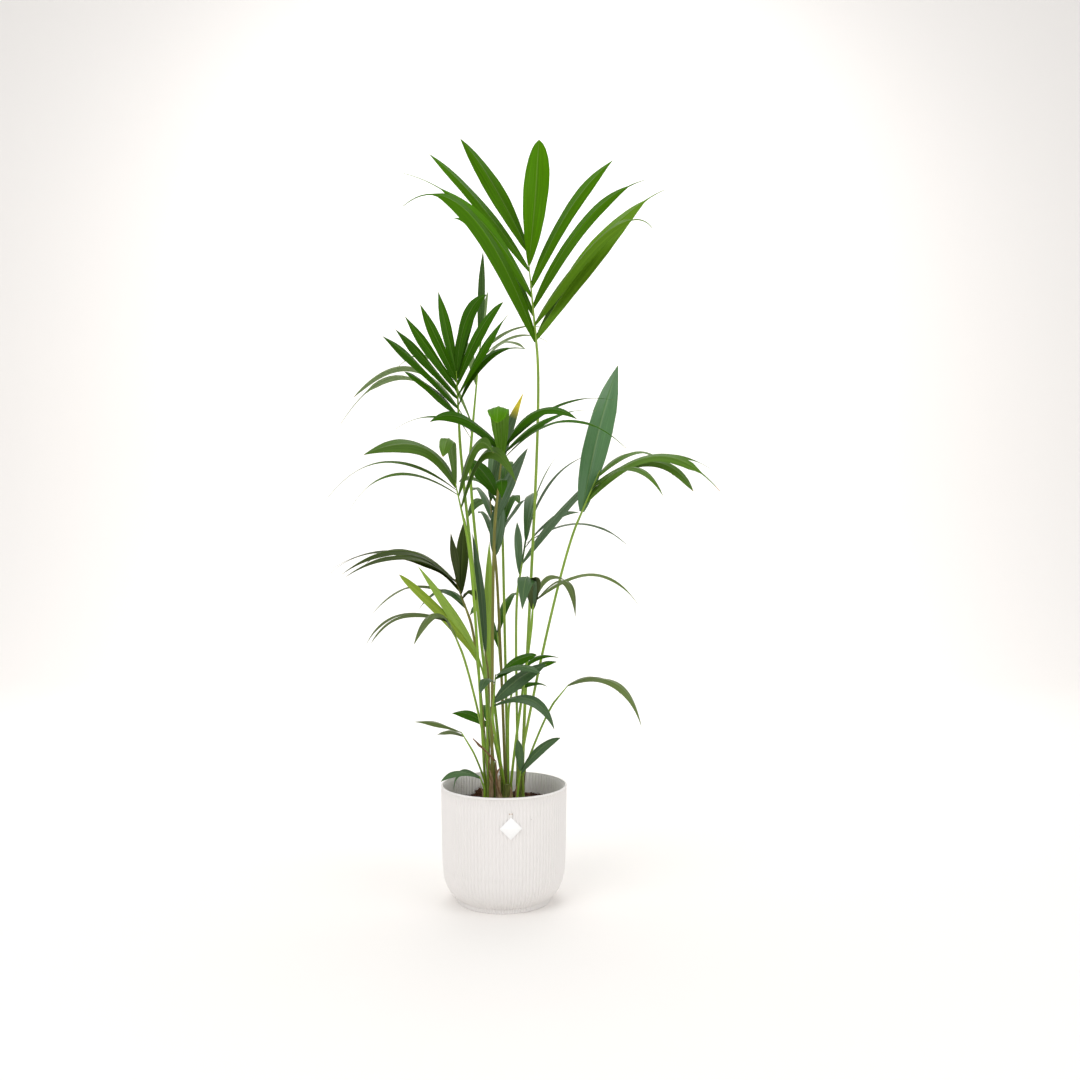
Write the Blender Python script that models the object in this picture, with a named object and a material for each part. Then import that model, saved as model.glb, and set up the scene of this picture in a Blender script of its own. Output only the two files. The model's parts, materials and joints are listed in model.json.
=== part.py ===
"""A kentia palm in a round ribbed pot, built as separate solids. Blender 4.5, metres, +Z up.

The origin is the centre of the pot's flat underside, and -Y is the side the palm is looked at from.
The plant is a clump of short stems. Each frond is a stalk and a blade of leaflets fused to its rib.
"""

import math
from collections import namedtuple

import bmesh
import bpy
from mathutils import Quaternion, Vector

CM = 0.01
MM = 0.001
GAP = 0.35 * MM  # between solids that touch on the real plant

# Pot, in mm: a drum with a rounded lower corner, on a short foot
POT_HEIGHT = 203.0
RIM_RADIUS = 111.0
WAIST_RADIUS = 107.3  # where the rounded corner ends
CORNER_TOP = 62.0
CORNER_ACROSS = 37.3
CORNER_DROP = 57.0
FOOT_RADIUS = 82.5
FOOT_HEIGHT = 8.5
FOOT_CHAMFER = 1.0
RIM_BAND = 3.5
BAND_PROUD = 0.4
WALL = 3.0
FLOOR = 6.0
POT_SIDES = 48
CORNER_STEPS = 5
DRUM_STEPS = 4

# Soil, in mm
SOIL_TOP = 165.0
SOIL_CROWN = 3.0  # how much higher the soil is in the middle, where it is flat under the stems
SOIL_FLAT_RADIUS = 58.0

# Tag, in mm: a blank square card that stands on its corner, with a neck under the rim
TAG_ACROSS = 14.9
TAG_MIDDLE = 152.0
TAG_HALF = 18.9
TAG_NECK_HALF = 2.6
TAG_TOP = 178.0
TAG_THICK = 0.8

# Stems, in cm: place of the foot, and height of the flat top above the pot's underside
STEM_SIDES = 10
STEM_LEVELS = ((0.0, 1.0), (0.18, 0.55), (0.5, 0.2), (1.0, 0.0))  # (share of height, of the flare)
STEM_FOOT_RADIUS = 1.25
STEM_TOP_RADIUS = 0.98
SEAT_RING = 0.62  # radius of the ring of stalks on a stem's top
STEMS = {
    "left_front": (-2.7, -2.1, 21.0),
    "left": (-2.3, 0.9, 21.8),
    "back": (-0.1, 3.4, 21.2),
    "front": (0.7, -2.7, 20.8),
    "right": (2.8, 0.5, 21.6),
}

# Viewing point, in cm from the origin. Places across and up are read in the upright plane through
# the pot's axis, as they look from this point.
VIEW_ACROSS = 6.35
VIEW_BACK = 196.0
VIEW_UP = 63.3

# Limbs and leaflets, in cm
LIMB_SIDES = 6
STALK_UPRIGHT = 0.3  # how far a stalk's foot turns from its line towards upright
STALK_FROM_FOOT = 0.33  # share of a stalk that rises as its foot does
STALK_IN_LINE = 0.15  # share of a stalk that runs in line with its rib
STALK_TOP_RADIUS = 0.23
STALK_STEPS = 6
SHORT_STALK = 15.0
SHORT_STALK_STEPS = 3
RIB_TIP_RADIUS = 0.1
RIB_STEPS = 3
RIB_NECK = 1.2  # bare rib below the lowest leaflet
LAST_LEAF = 0.97  # share of the rib where the topmost leaflet is rooted
LEAST_LEAF = 0.09  # half the least thickness of a leaflet
LEAF_THICKNESS = 0.0055  # half a leaflet's thickness as a share of its length
LEAF_EDGE = 0.55  # share of that thickness left where a leaflet is narrowest
LEAF_MIDDLE = 0.45  # place along a leaflet that faces as its frond does
STRAIGHT_BOW = 1.0  # a leaflet with no more bow than this needs fewer steps
SMOOTH_BELOW = 40.0  # degrees between faces that are shaded as one surface

# Each step is (place along a leaflet, share of its width)
ARCHED_STEPS = ((0.0, 0.34), (0.13, 0.72), (0.32, 0.98), (0.52, 0.98), (0.72, 0.76), (0.89, 0.42))
STRAIGHT_STEPS = ((0.0, 0.34), (0.16, 0.78), (0.46, 1.0), (0.78, 0.68))

FACE_VIEW = (0.0, -0.75, 0.65)
FACE_UP = (0.0, -0.35, 0.95)
FACE_BACK = (0.0, 0.6, 0.8)

# A frond stands on a stem at a seat, an angle in degrees about the stem from +X towards +Y, or on
# the soil where its stem is a pair of numbers. Its stalk ends at base, and its rib runs on to tip,
# both (across, up, deep) in cm. Each leaflet is (place on the rib from 0 to 1, tip across, tip up,
# tip deep, width, bow above its straight line, and where along that line the bow is centred).
Frond = namedtuple("Frond", "name stem seat base tip foot_radius face leaflets")
FRONDS = (
    Frond("crown", "right", 50, (5.8, 96.8, 2.0), (4.1, 114.8, 3.5), 0.34, FACE_VIEW, (
        (0.02, -17.8, 122.2, -9.0, 4.4, 7.7, 0.95),
        (0.05, 28.2, 125.0, -5.0, 4.6, 2.4, 0.75),
        (0.20, 26.1, 118.4, -12.0, 4.0, 4.6, 0.95),
        (0.38, 24.8, 126.8, 5.0, 2.8, 3.0, 0.7),
        (0.50, -17.8, 128.0, -3.0, 3.5, 3.5, 0.65),
        (0.60, 19.2, 130.3, 11.0, 2.8, 1.7, 0.6),
        (0.78, -13.2, 131.4, 10.0, 2.5, 1.0, 0.6),
        (0.84, 6.2, 133.9, 0.0, 4.6, -0.3, 0.5),
        (1.00, -7.7, 134.1, 5.0, 3.5, 0.7, 0.6),
        (0.30, -9.0, 120.0, 15.0, 2.6, 3.0, 0.8),
    )),
    Frond("upper_left", "left", 344, (-7.8, 81.5, -5.0), (-8.4, 93.1, -6.5), 0.3, FACE_VIEW, (
        (0.98, -11.6, 107.1, -4.0, 1.9, 0.0, 0.5),
        (0.84, -14.8, 104.9, -9.0, 2.0, 0.0, 0.5),
        (0.70, -17.5, 102.8, -12.0, 2.2, 0.0, 0.5),
        (0.55, -19.2, 100.5, -15.0, 2.4, 0.2, 0.6),
        (0.38, -21.5, 99.3, -18.0, 2.6, 0.6, 0.6),
        (0.24, -17.6, 93.0, -14.0, 2.6, 0.6, 0.6),
        (1.00, -3.0, 106.6, -8.0, 2.3, 1.8, 0.8),
        (0.90, -4.9, 104.9, -2.0, 2.3, 1.2, 0.6),
        (0.78, -0.1, 105.3, -11.0, 2.2, 1.2, 0.7),
        (0.60, 0.7, 103.0, -16.0, 2.2, 0.6, 0.7),
        (0.42, 3.9, 97.0, -13.0, 1.9, 3.4, 0.6),
    )),
    Frond("upper_back", "back", 217, (-5.9, 79.2, 8.0), (-4.2, 98.0, 12.0), 0.27, FACE_BACK, (
        (1.00, -3.7, 114.3, 14.0, 1.4, 0.2, 0.5),
        (0.96, -2.8, 107.2, 19.0, 0.9, 0.6, 0.6),
        (0.10, -26.5, 88.5, 13.0, 1.8, 8.3, 0.65),
        (0.04, -28.8, 83.8, 19.0, 1.8, 10.2, 0.6),
        (0.18, -18.7, 93.8, 27.0, 1.7, 6.0, 0.7),
        (0.92, 7.2, 100.7, 15.0, 1.6, 2.0, 0.6),
        (0.84, 7.8, 98.2, 22.0, 1.6, 2.8, 0.6),
        (0.74, 3.7, 97.0, 28.0, 1.7, 3.0, 0.6),
        (0.60, -8.5, 97.0, 31.0, 2.2, 4.0, 0.7),
    )),
    Frond("centre", "left_front", 0, (-1.4, 68.8, -7.0), (-0.2, 79.9, -10.0), 0.28, FACE_VIEW, (
        (0.84, -1.3, 84.0, -21.0, 3.4, 4.5, 0.8),
        (0.94, 12.9, 84.6, -17.0, 2.0, 3.7, 0.6),
        (0.98, 19.2, 88.0, -8.0, 1.8, 2.9, 0.6),
        (0.86, 16.2, 86.1, -2.0, 1.8, 2.2, 0.6),
        (0.74, 21.5, 79.5, -23.0, 2.0, 5.5, 0.55),
        (0.95, -13.1, 84.1, -13.0, 2.4, 2.5, 0.75),
        (0.90, -21.3, 81.1, -5.0, 1.6, 4.9, 0.6),
        (0.12, -6.4, 77.8, -3.5, 3.0, 0.5, 0.5),
        (0.34, -0.4, 70.6, -12.5, 2.0, 2.2, 0.7),
    )),
    Frond("centre_back", "back", 289, (-1.4, 58.6, 8.0), (-2.5, 71.4, 11.0), 0.26, FACE_BACK, (
        (0.92, 3.4, 89.2, 9.0, 2.1, 0.8, 0.5),
        (0.30, -4.6, 68.0, 20.0, 2.0, 2.0, 0.6),
        (0.62, -5.6, 72.0, 25.0, 2.2, 2.4, 0.6),
        (0.42, 1.8, 72.9, 15.0, 3.0, 1.6, 0.6),
        (0.14, 3.7, 70.4, 17.0, 2.0, 1.2, 0.6),
        (0.98, -1.0, 80.0, 25.0, 2.6, 2.4, 0.7),
        (0.08, -0.6, 70.5, 11.5, 3.0, 0.4, 0.5),
        (0.50, 4.2, 79.5, 13.0, 2.8, 0.8, 0.5),
    )),
    Frond("left", "left_front", 150, (-6.8, 65.6, -10.0), (-8.6, 73.4, -12.0), 0.27, FACE_VIEW, (
        (0.90, -24.8, 78.3, -19.0, 3.2, 4.2, 0.45),
        (1.00, -10.8, 78.0, -22.0, 2.2, 4.8, 0.7),
        (0.82, -31.4, 70.4, -13.0, 1.3, 5.6, 0.55),
        (0.70, -28.2, 66.8, -7.0, 1.3, 5.8, 0.55),
        (0.66, -1.9, 78.6, -18.0, 2.4, 3.6, 1.0),
        (0.34, 2.1, 73.5, -17.0, 2.3, 6.6, 0.85),
    )),
    Frond("left_low", "left", 200, (-6.1, 49.6, -1.0), (-8.6, 56.4, -2.0), 0.27, FACE_UP, (
        (0.56, -6.9, 67.1, 0.5, 2.3, 0.3, 0.5),
        (0.68, -9.4, 64.6, -7.0, 1.8, 0.5, 0.5),
        (0.72, -28.8, 57.1, -9.0, 2.8, 5.2, 0.5),
        (0.82, -31.2, 57.7, -2.0, 1.7, 4.8, 0.5),
        (0.80, -28.2, 56.6, -15.0, 2.4, 4.3, 0.5),
        (1.00, -32.5, 55.4, 5.0, 1.6, 5.4, 0.6),
        (0.92, -24.5, 59.0, 13.0, 1.9, 4.0, 0.6),
        (0.40, -4.9, 52.6, -4.5, 1.6, 1.6, 0.6),
        (0.62, -17.6, 59.8, -6.0, 2.2, 1.4, 0.5),
        (0.10, -15.2, 50.8, 3.0, 2.4, 3.4, 0.4),
        (0.22, -23.5, 49.9, 6.0, 1.5, 4.3, 0.5),
    )),
    Frond("young", "left_front", 270, (-3.6, 39.6, -3.0), (-4.8, 43.6, -3.8), 0.22, FACE_VIEW, (
        (0.30, -18.5, 57.2, -10.0, 1.9, 0.9, 0.35),
        (0.05, -15.2, 58.7, -8.5, 1.9, 0.6, 0.4),
    )),
    Frond("left_arch", "left", 272, (-7.6, 44.0, -7.0), (-10.0, 49.6, -9.0), 0.24, FACE_UP, (
        (0.16, -15.9, 44.8, -15.0, 2.2, 4.6, 0.45),
        (0.84, -23.5, 45.0, -13.0, 1.8, 3.0, 0.6),
        (0.92, -24.5, 44.4, -8.0, 1.8, 3.4, 0.6),
    )),
    Frond("right", "right", 230, (12.9, 66.4, -3.0), (16.9, 75.6, -3.0), 0.3, FACE_VIEW, (
        (0.10, 20.1, 94.1, 1.0, 4.7, 0.5, 0.5),
        (0.30, 38.1, 71.9, -9.0, 2.1, 6.8, 0.58),
        (0.60, 28.1, 71.0, -15.0, 1.7, 4.2, 0.6),
        (0.68, 33.4, 71.9, -4.0, 1.9, 4.6, 0.65),
        (0.48, 37.4, 75.2, 4.0, 1.7, 4.8, 0.58),
        (0.86, 30.0, 74.4, 13.0, 1.9, 4.6, 0.6),
    )),
    Frond("right_back", "right", 140, (2.5, 55.2, 6.0), (3.9, 63.4, 8.0), 0.26, FACE_BACK, (
        (0.12, 2.3, 66.5, 11.0, 1.6, 0.3, 0.5),
        (0.30, 11.6, 80.1, 19.0, 1.1, 3.6, 0.6),
        (0.52, 14.3, 78.1, 13.0, 1.6, 3.4, 0.6),
        (0.40, 16.9, 74.8, 7.0, 2.0, 0.8, 0.6),
        (0.80, 13.3, 68.1, 15.0, 1.8, 1.9, 0.6),
        (0.92, 21.6, 62.5, 20.0, 1.5, 3.9, 0.55),
        (1.00, 5.5, 70.0, 27.0, 2.4, 4.0, 0.7),
    )),
    Frond("curled", "front", 20, (4.9, 48.8, -9.0), (5.2, 52.6, -10.5), 0.24, FACE_UP, (
        (0.44, 5.6, 56.7, -18.0, 2.2, 1.6, 0.6),
        (0.62, 3.2, 51.0, -20.0, 3.0, 5.0, 0.6),
        (0.76, 12.6, 49.7, -15.0, 1.7, 5.2, 0.7),
        (0.94, 23.8, 51.7, -10.0, 1.7, 5.0, 0.6),
        (1.00, 11.5, 55.5, -6.5, 1.6, 2.6, 0.6),
    )),
    Frond("low_front", "front", 160, (-2.0, 32.4, -7.0), (-1.5, 39.6, -9.0), 0.23, FACE_VIEW, (
        (0.90, 5.8, 43.0, -15.0, 2.5, 0.7, 0.6),
        (0.76, -4.2, 36.1, -14.0, 1.6, 1.6, 0.6),
        (1.00, 6.4, 39.7, -20.0, 1.7, 1.2, 0.6),
        (0.20, 7.5, 41.4, -11.0, 3.0, 0.6, 0.5),
        (0.08, 8.9, 29.8, -13.0, 1.9, 3.3, 0.6),
    )),
    Frond("low_centre", "front", 80, (1.0, 34.6, -4.5), (1.9, 38.6, -5.0), 0.22, FACE_UP, (
        (0.30, 7.7, 37.4, -1.0, 1.6, 1.0, 0.6),
        (0.64, 9.4, 41.8, -4.5, 2.2, 1.0, 0.6),
        (0.86, 10.0, 42.4, -4.0, 1.3, 2.0, 0.6),
    )),
    Frond("right_arch", "right", 320, (9.0, 34.9, -2.0), (11.4, 37.8, -3.0), 0.24, FACE_UP, (
        (0.90, 24.3, 30.2, -7.0, 2.0, 4.4, 0.5),
        (0.98, 20.8, 35.6, 4.0, 1.6, 2.4, 0.6),
    )),
    Frond("left_short", "left_front", 215, (-5.7, 26.4, -6.5), (-7.6, 29.5, -7.5), 0.21, FACE_UP, (
        (0.95, -15.9, 31.2, -10.0, 1.6, 0.5, 0.6),
        (0.60, -12.0, 28.7, -3.0, 1.6, 0.8, 0.6),
    )),
    Frond("back_short", "back", 145, (-1.8, 28.2, 5.0), (-2.6, 30.6, 5.8), 0.21, FACE_VIEW, (
        (0.66, -9.2, 32.7, 9.0, 1.9, 0.9, 0.6),
        (0.95, -4.0, 33.0, 16.0, 2.0, 2.2, 0.6),
    )),
    Frond("back_high", "back", 1, (-0.2, 62.0, 14.0), (-0.4, 71.0, 18.5), 0.26, FACE_BACK, (
        (0.30, 2.8, 69.5, 31.0, 2.4, 3.6, 0.6),
        (0.45, -6.5, 67.0, 32.0, 2.4, 4.0, 0.6),
        (0.66, -8.0, 73.5, 31.0, 2.4, 3.0, 0.6),
        (0.80, 1.2, 76.5, 36.0, 2.3, 3.0, 0.7),
        (1.00, -2.6, 80.0, 31.0, 2.2, 2.6, 0.7),
    )),
    Frond("back_low", "back", 73, (-0.6, 41.4, 10.0), (-1.2, 47.0, 13.0), 0.24, FACE_BACK, (
        (0.40, -6.0, 50.0, 28.0, 2.3, 4.0, 0.6),
        (0.90, 2.6, 53.5, 27.0, 2.2, 3.0, 0.6),
        (0.60, -3.0, 43.5, 25.0, 2.0, 3.4, 0.6),
    )),
    Frond("dark_spear", "left", 128, (-2.9, 41.0, 0.5), (-3.4, 44.0, 0.6), 0.22, FACE_VIEW, (
        (0.60, -5.6, 64.5, 1.5, 1.4, 0.4, 0.5),
    )),
    Frond("pale_spear", "left", 56, (-2.8, 34.6, 3.2), (-2.8, 38.0, 3.4), 0.2, FACE_VIEW, (
        (0.60, -2.6, 63.0, 4.5, 1.8, 0.2, 0.5),
    )),
    Frond("rim_right", (2.3, -5.4), 0, (2.6, 20.4, -5.8), (3.0, 22.6, -6.2), 0.18, FACE_VIEW, (
        (0.60, 10.0, 28.4, -9.5, 1.8, 0.8, 0.6),
        (0.90, 2.4, 28.2, -8.5, 1.5, 0.3, 0.5),
    )),
    Frond("rim_left", (-3.4, -5.2), 0, (-3.5, 19.6, -6.0), (-4.3, 21.6, -6.4), 0.18, FACE_VIEW, (
        (0.90, -11.2, 20.6, -9.0, 1.2, 1.1, 0.6),
        (0.60, -8.9, 19.2, -4.2, 1.2, 2.2, 0.6),
    )),
)


def material(name, colour, roughness):
    """A plain Principled material; the colour is linear."""
    made = bpy.data.materials.new(name)
    made.use_nodes = True
    shader = made.node_tree.nodes["Principled BSDF"]
    shader.inputs["Base Color"].default_value = (*colour, 1.0)
    shader.inputs["Roughness"].default_value = roughness
    shader.inputs["Metallic"].default_value = 0.0
    made.diffuse_color = (*colour, 1.0)
    return made


def new_object(name, points, faces, finish):
    mesh = bpy.data.meshes.new(name)
    mesh.from_pydata(points, [], faces)
    mesh.materials.append(finish)
    mesh.shade_smooth()
    mesh.set_sharp_from_angle(angle=math.radians(SMOOTH_BELOW))
    made = bpy.data.objects.new(name, mesh)
    bpy.context.scene.collection.objects.link(made)
    return made


def lofted(rings, end_point=None):
    """Points and faces of rings of equal count, closed by a flat cap at the start and, at the end,
    by another cap or by a point."""
    count = len(rings[0])
    points = [point for ring in rings for point in ring]
    faces = [tuple(reversed(range(count)))]
    for level in range(len(rings) - 1):
        for side in range(count):
            here = level * count + side
            beside = level * count + (side + 1) % count
            faces.append((here, beside, beside + count, here + count))
    last = (len(rings) - 1) * count
    if end_point is None:
        faces.append(tuple(range(last, last + count)))
    else:
        points.append(end_point)
        apex = len(points) - 1
        faces += [(last + side, last + (side + 1) % count, apex) for side in range(count)]
    return points, faces


def turned(name, profile, sides, finish):
    """A closed solid turned about Z from (radius, height) pairs in mm that start and end on the
    axis and run up the outside."""
    rings = [
        [
            Vector((radius * math.cos(turn), radius * math.sin(turn), height)) * MM
            for turn in (math.tau * side / sides for side in range(sides))
        ]
        for radius, height in profile[1:-1]
    ]
    points, faces = lofted(rings)
    points += [Vector((0, 0, profile[0][1])) * MM, Vector((0, 0, profile[-1][1])) * MM]
    low, high = len(points) - 2, len(points) - 1
    last = (len(rings) - 1) * sides
    faces = faces[1:-1]
    for side in range(sides):
        beside = (side + 1) % sides
        faces.append((beside, side, low))
        faces.append((last + side, last + beside, high))
    return new_object(name, points, faces, finish)


def outer_radius(height):
    """The pot's outside radius at a height, in mm."""
    if height >= CORNER_TOP:
        share = (height - CORNER_TOP) / (POT_HEIGHT - CORNER_TOP)
        return WAIST_RADIUS + (RIM_RADIUS - BAND_PROUD - WAIST_RADIUS) * math.sqrt(share)
    down = (CORNER_TOP - height) / CORNER_DROP
    return WAIST_RADIUS - CORNER_ACROSS * (1 - math.sqrt(1 - down * down))


def wall_heights():
    """Heights of the wall's edges from the foot up, closer together where it curves more."""
    steepest = math.asin((CORNER_TOP - FOOT_HEIGHT) / CORNER_DROP)
    turns = [steepest * (1 - step / CORNER_STEPS) for step in range(CORNER_STEPS)]
    corner = [CORNER_TOP - CORNER_DROP * math.sin(turn) for turn in turns]
    rise = POT_HEIGHT - RIM_BAND - CORNER_TOP
    return corner + [CORNER_TOP + rise * (step / DRUM_STEPS) ** 2 for step in range(DRUM_STEPS + 1)]


def pot(finish):
    foot = [(FOOT_RADIUS - FOOT_CHAMFER, 0), (FOOT_RADIUS, FOOT_CHAMFER), (FOOT_RADIUS, FOOT_HEIGHT)]
    outside = [(outer_radius(height), height) for height in wall_heights()]
    band = [(RIM_RADIUS, POT_HEIGHT - RIM_BAND), (RIM_RADIUS, POT_HEIGHT)]
    inside = [(inner_radius(height), height) for height in inside_heights(POT_HEIGHT)]
    profile = [(0, 0)] + foot + outside + band + inside + [(0, FLOOR)]
    return turned("pot", profile, POT_SIDES, finish)


def inner_radius(height):
    return outer_radius(max(height - WALL, FOOT_HEIGHT)) - WALL


def inside_heights(top):
    """Heights of the inner wall's edges, from top down to the floor."""
    edges = {SOIL_TOP, *wall_heights()}
    return [top] + sorted((h for h in edges if FLOOR + WALL < h < top), reverse=True) + [FLOOR]


def soil_height(radius):
    """The soil's top at a distance from the pot's axis, all in mm."""
    if radius <= SOIL_FLAT_RADIUS:
        return SOIL_TOP + SOIL_CROWN
    fall = (radius - SOIL_FLAT_RADIUS) / (inner_radius(SOIL_TOP) - SOIL_FLAT_RADIUS)
    return SOIL_TOP + SOIL_CROWN * (1 - fall)


def soil(finish):
    gap = GAP / MM
    sides = [(inner_radius(height) - gap, height) for height in reversed(inside_heights(SOIL_TOP))]
    sides[0] = (sides[0][0], FLOOR + gap)
    top = [(SOIL_FLAT_RADIUS, SOIL_TOP + SOIL_CROWN)]
    profile = [(0, FLOOR + gap)] + sides + top + [(0, SOIL_TOP + SOIL_CROWN)]
    return turned("soil", profile, POT_SIDES, finish)


def tag(finish):
    """A flat card against the pot's front, leaning with the wall."""
    turn = math.asin(TAG_ACROSS / outer_radius(TAG_MIDDLE))
    across = Vector((math.cos(turn), math.sin(turn), 0))
    out = Vector((math.sin(turn), -math.cos(turn), 0))
    neck_joint = TAG_MIDDLE + TAG_HALF - TAG_NECK_HALF
    outline = [
        (0, TAG_MIDDLE - TAG_HALF),
        (TAG_HALF, TAG_MIDDLE),
        (TAG_NECK_HALF, neck_joint),
        (TAG_NECK_HALF, TAG_TOP),
        (-TAG_NECK_HALF, TAG_TOP),
        (-TAG_NECK_HALF, neck_joint),
        (-TAG_HALF, TAG_MIDDLE),
    ]
    rings = []
    for proud in (GAP / MM, GAP / MM + TAG_THICK):
        rings.append([
            (across * side + out * (outer_radius(height) + proud) + Vector((0, 0, height))) * MM
            for side, height in outline
        ])
    points, faces = lofted(rings)
    return new_object("tag", points, faces, finish)


def stem(name, across, deep, top, finish):
    """A short upright stem with a flared foot, cut flat at the soil and at its top."""
    foot = (soil_height(0) * MM + GAP) / CM
    rings = []
    for share, flare in STEM_LEVELS:
        radius = STEM_TOP_RADIUS + (STEM_FOOT_RADIUS - STEM_TOP_RADIUS) * flare
        height = foot + (top - foot) * share
        rings.append([
            Vector((across + radius * math.cos(turn), deep + radius * math.sin(turn), height)) * CM
            for turn in (math.tau * side / STEM_SIDES for side in range(STEM_SIDES))
        ])
    points, faces = lofted(rings)
    return new_object("stem_" + name, points, faces, finish)


def seen(across, up, deep):
    """The point at this depth that looks to be at (across, up) in the plane of the pot's axis."""
    scale = (VIEW_BACK + deep) / VIEW_BACK
    x = VIEW_ACROSS + (across - VIEW_ACROSS) * scale
    z = VIEW_UP + (up - VIEW_UP) * scale
    return Vector((x, deep, z)) * CM


def bezier(points, t):
    """A point of the Bezier curve with these control points."""
    while len(points) > 1:
        points = [a.lerp(b, t) for a, b in zip(points, points[1:])]
    return points[0]


def tangent(points, t):
    steps = [b - a for a, b in zip(points, points[1:])]
    return bezier(steps, t).normalized()


def tube_rings(curve, places, radii, flat_foot=False):
    """Rings round a curve. The first lies level where flat_foot is set, as a stalk's cut foot."""
    rings = []
    side_way = None
    for place, radius in zip(places, radii):
        along = tangent(curve, place)
        if flat_foot and not rings:
            along = Vector((0, 0, 1))
        start = side_way or Vector((1, 0, 0))
        side_way = (start - along * start.dot(along)).normalized()
        other = along.cross(side_way)
        centre = bezier(curve, place)
        rings.append([
            centre + (side_way * math.cos(turn) + other * math.sin(turn)) * radius
            for turn in (math.tau * side / LIMB_SIDES for side in range(LIMB_SIDES))
        ])
    return rings


def seat_of(frond):
    """Where a frond's stalk stands, on its stem's flat top or on the soil."""
    if isinstance(frond.stem, tuple):
        across, deep = frond.stem
        return Vector((across * CM, deep * CM, soil_height(0) * MM + GAP))
    across, deep, top = STEMS[frond.stem]
    turn = math.radians(frond.seat)
    ring = Vector((math.cos(turn), math.sin(turn), 0)) * SEAT_RING
    return Vector((across + ring.x, deep + ring.y, top)) * CM + Vector((0, 0, GAP))


def rib_curve(frond):
    """The rib, straight from the stalk's top to its own tip."""
    return [seen(*frond.base), seen(*frond.tip)]


def stalk_curve(frond):
    """From the seat, rising almost straight, to the base, in line with the rib."""
    seat, base = seat_of(frond), seen(*frond.base)
    reach = (base - seat).length
    rise = ((base - seat).normalized() + Vector((0, 0, STALK_UPRIGHT))).normalized()
    onward = tangent(rib_curve(frond), 0)
    return [
        seat,
        seat + rise * reach * STALK_FROM_FOOT,
        base - onward * reach * STALK_IN_LINE,
        base,
    ]


def top_radius(frond):
    return min(STALK_TOP_RADIUS, frond.foot_radius)


def stalk(frond, finish):
    curve = stalk_curve(frond)
    reach = (curve[-1] - curve[0]).length
    steps = STALK_STEPS if reach > SHORT_STALK * CM else SHORT_STALK_STEPS
    end = 1 - GAP / reach
    places = [end * step / steps for step in range(steps + 1)]
    slimmer = frond.foot_radius - top_radius(frond)
    radii = [(frond.foot_radius - slimmer * place) * CM for place in places]
    points, faces = lofted(tube_rings(curve, places, radii, flat_foot=True))
    return new_object("stalk_" + frond.name, points, faces, finish)


def leaf_curve(frond, spec):
    """A leaflet's middle line, in the upright plane through its root and its tip."""
    place, across, up, deep, _, bow, centred = spec
    rib = rib_curve(frond)
    length = (rib[-1] - rib[0]).length
    neck = RIB_NECK * CM / length
    root = bezier(rib, neck + (1 - neck) * place * LAST_LEAF)
    tip = seen(across, up, deep)
    chord = tip - root
    along = chord.normalized()
    rise = Vector((0, 0, 1)) - along * along.z
    return [root, root + chord * centred + rise.normalized() * 2 * bow * CM, tip]


def flat_facing(curve, t):
    """Where a leaflet's upper side faces if it bends without a roll."""
    across = (curve[-1] - curve[0]).cross(Vector((0, 0, 1))).normalized()
    return across.cross(tangent(curve, t))


def roll_of(curve, face):
    """The turn about its length that makes a leaflet's middle face as near to this as it can."""
    way, flat = tangent(curve, LEAF_MIDDLE), flat_facing(curve, LEAF_MIDDLE)
    wanted = face - way * face.dot(way)
    return math.atan2(flat.cross(wanted).dot(way), flat.dot(wanted))


def leaflet(frond, spec):
    """Points and faces of one leaflet: a long diamond in section, with its root in the rib."""
    *_, width, bow, _ = spec
    curve = leaf_curve(frond, spec)
    tip = curve[-1]
    roll = roll_of(curve, Vector(frond.face))
    half_thick = max(LEAST_LEAF * CM, LEAF_THICKNESS * (tip - curve[0]).length)
    rings = []
    for t, share in STRAIGHT_STEPS if bow <= STRAIGHT_BOW else ARCHED_STEPS:
        centre = bezier(curve, t)
        way = tangent(curve, t)
        normal = Quaternion(way, roll) @ flat_facing(curve, t)
        side = way.cross(normal) * width * CM / 2 * share
        lift = normal * half_thick * (LEAF_EDGE + (1 - LEAF_EDGE) * share)
        rings.append([centre - side, centre + lift, centre + side, centre - lift])
    return lofted(rings, end_point=tip)


def drop_scraps(mesh):
    """Leaves only the largest connected part of a mesh, which fills any pocket sealed by a join."""
    shape = bmesh.new()
    shape.from_mesh(mesh)
    waiting = set(shape.verts)
    parts = []
    while waiting:
        found = [waiting.pop()]
        for corner in found:
            beside = {edge.other_vert(corner) for edge in corner.link_edges} & waiting
            waiting -= beside
            found.extend(beside)
        parts.append(found)
    parts.sort(key=len)
    scraps = [corner for part in parts[:-1] for corner in part]
    bmesh.ops.delete(shape, geom=scraps, context="VERTS")
    shape.to_mesh(mesh)
    shape.free()


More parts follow.
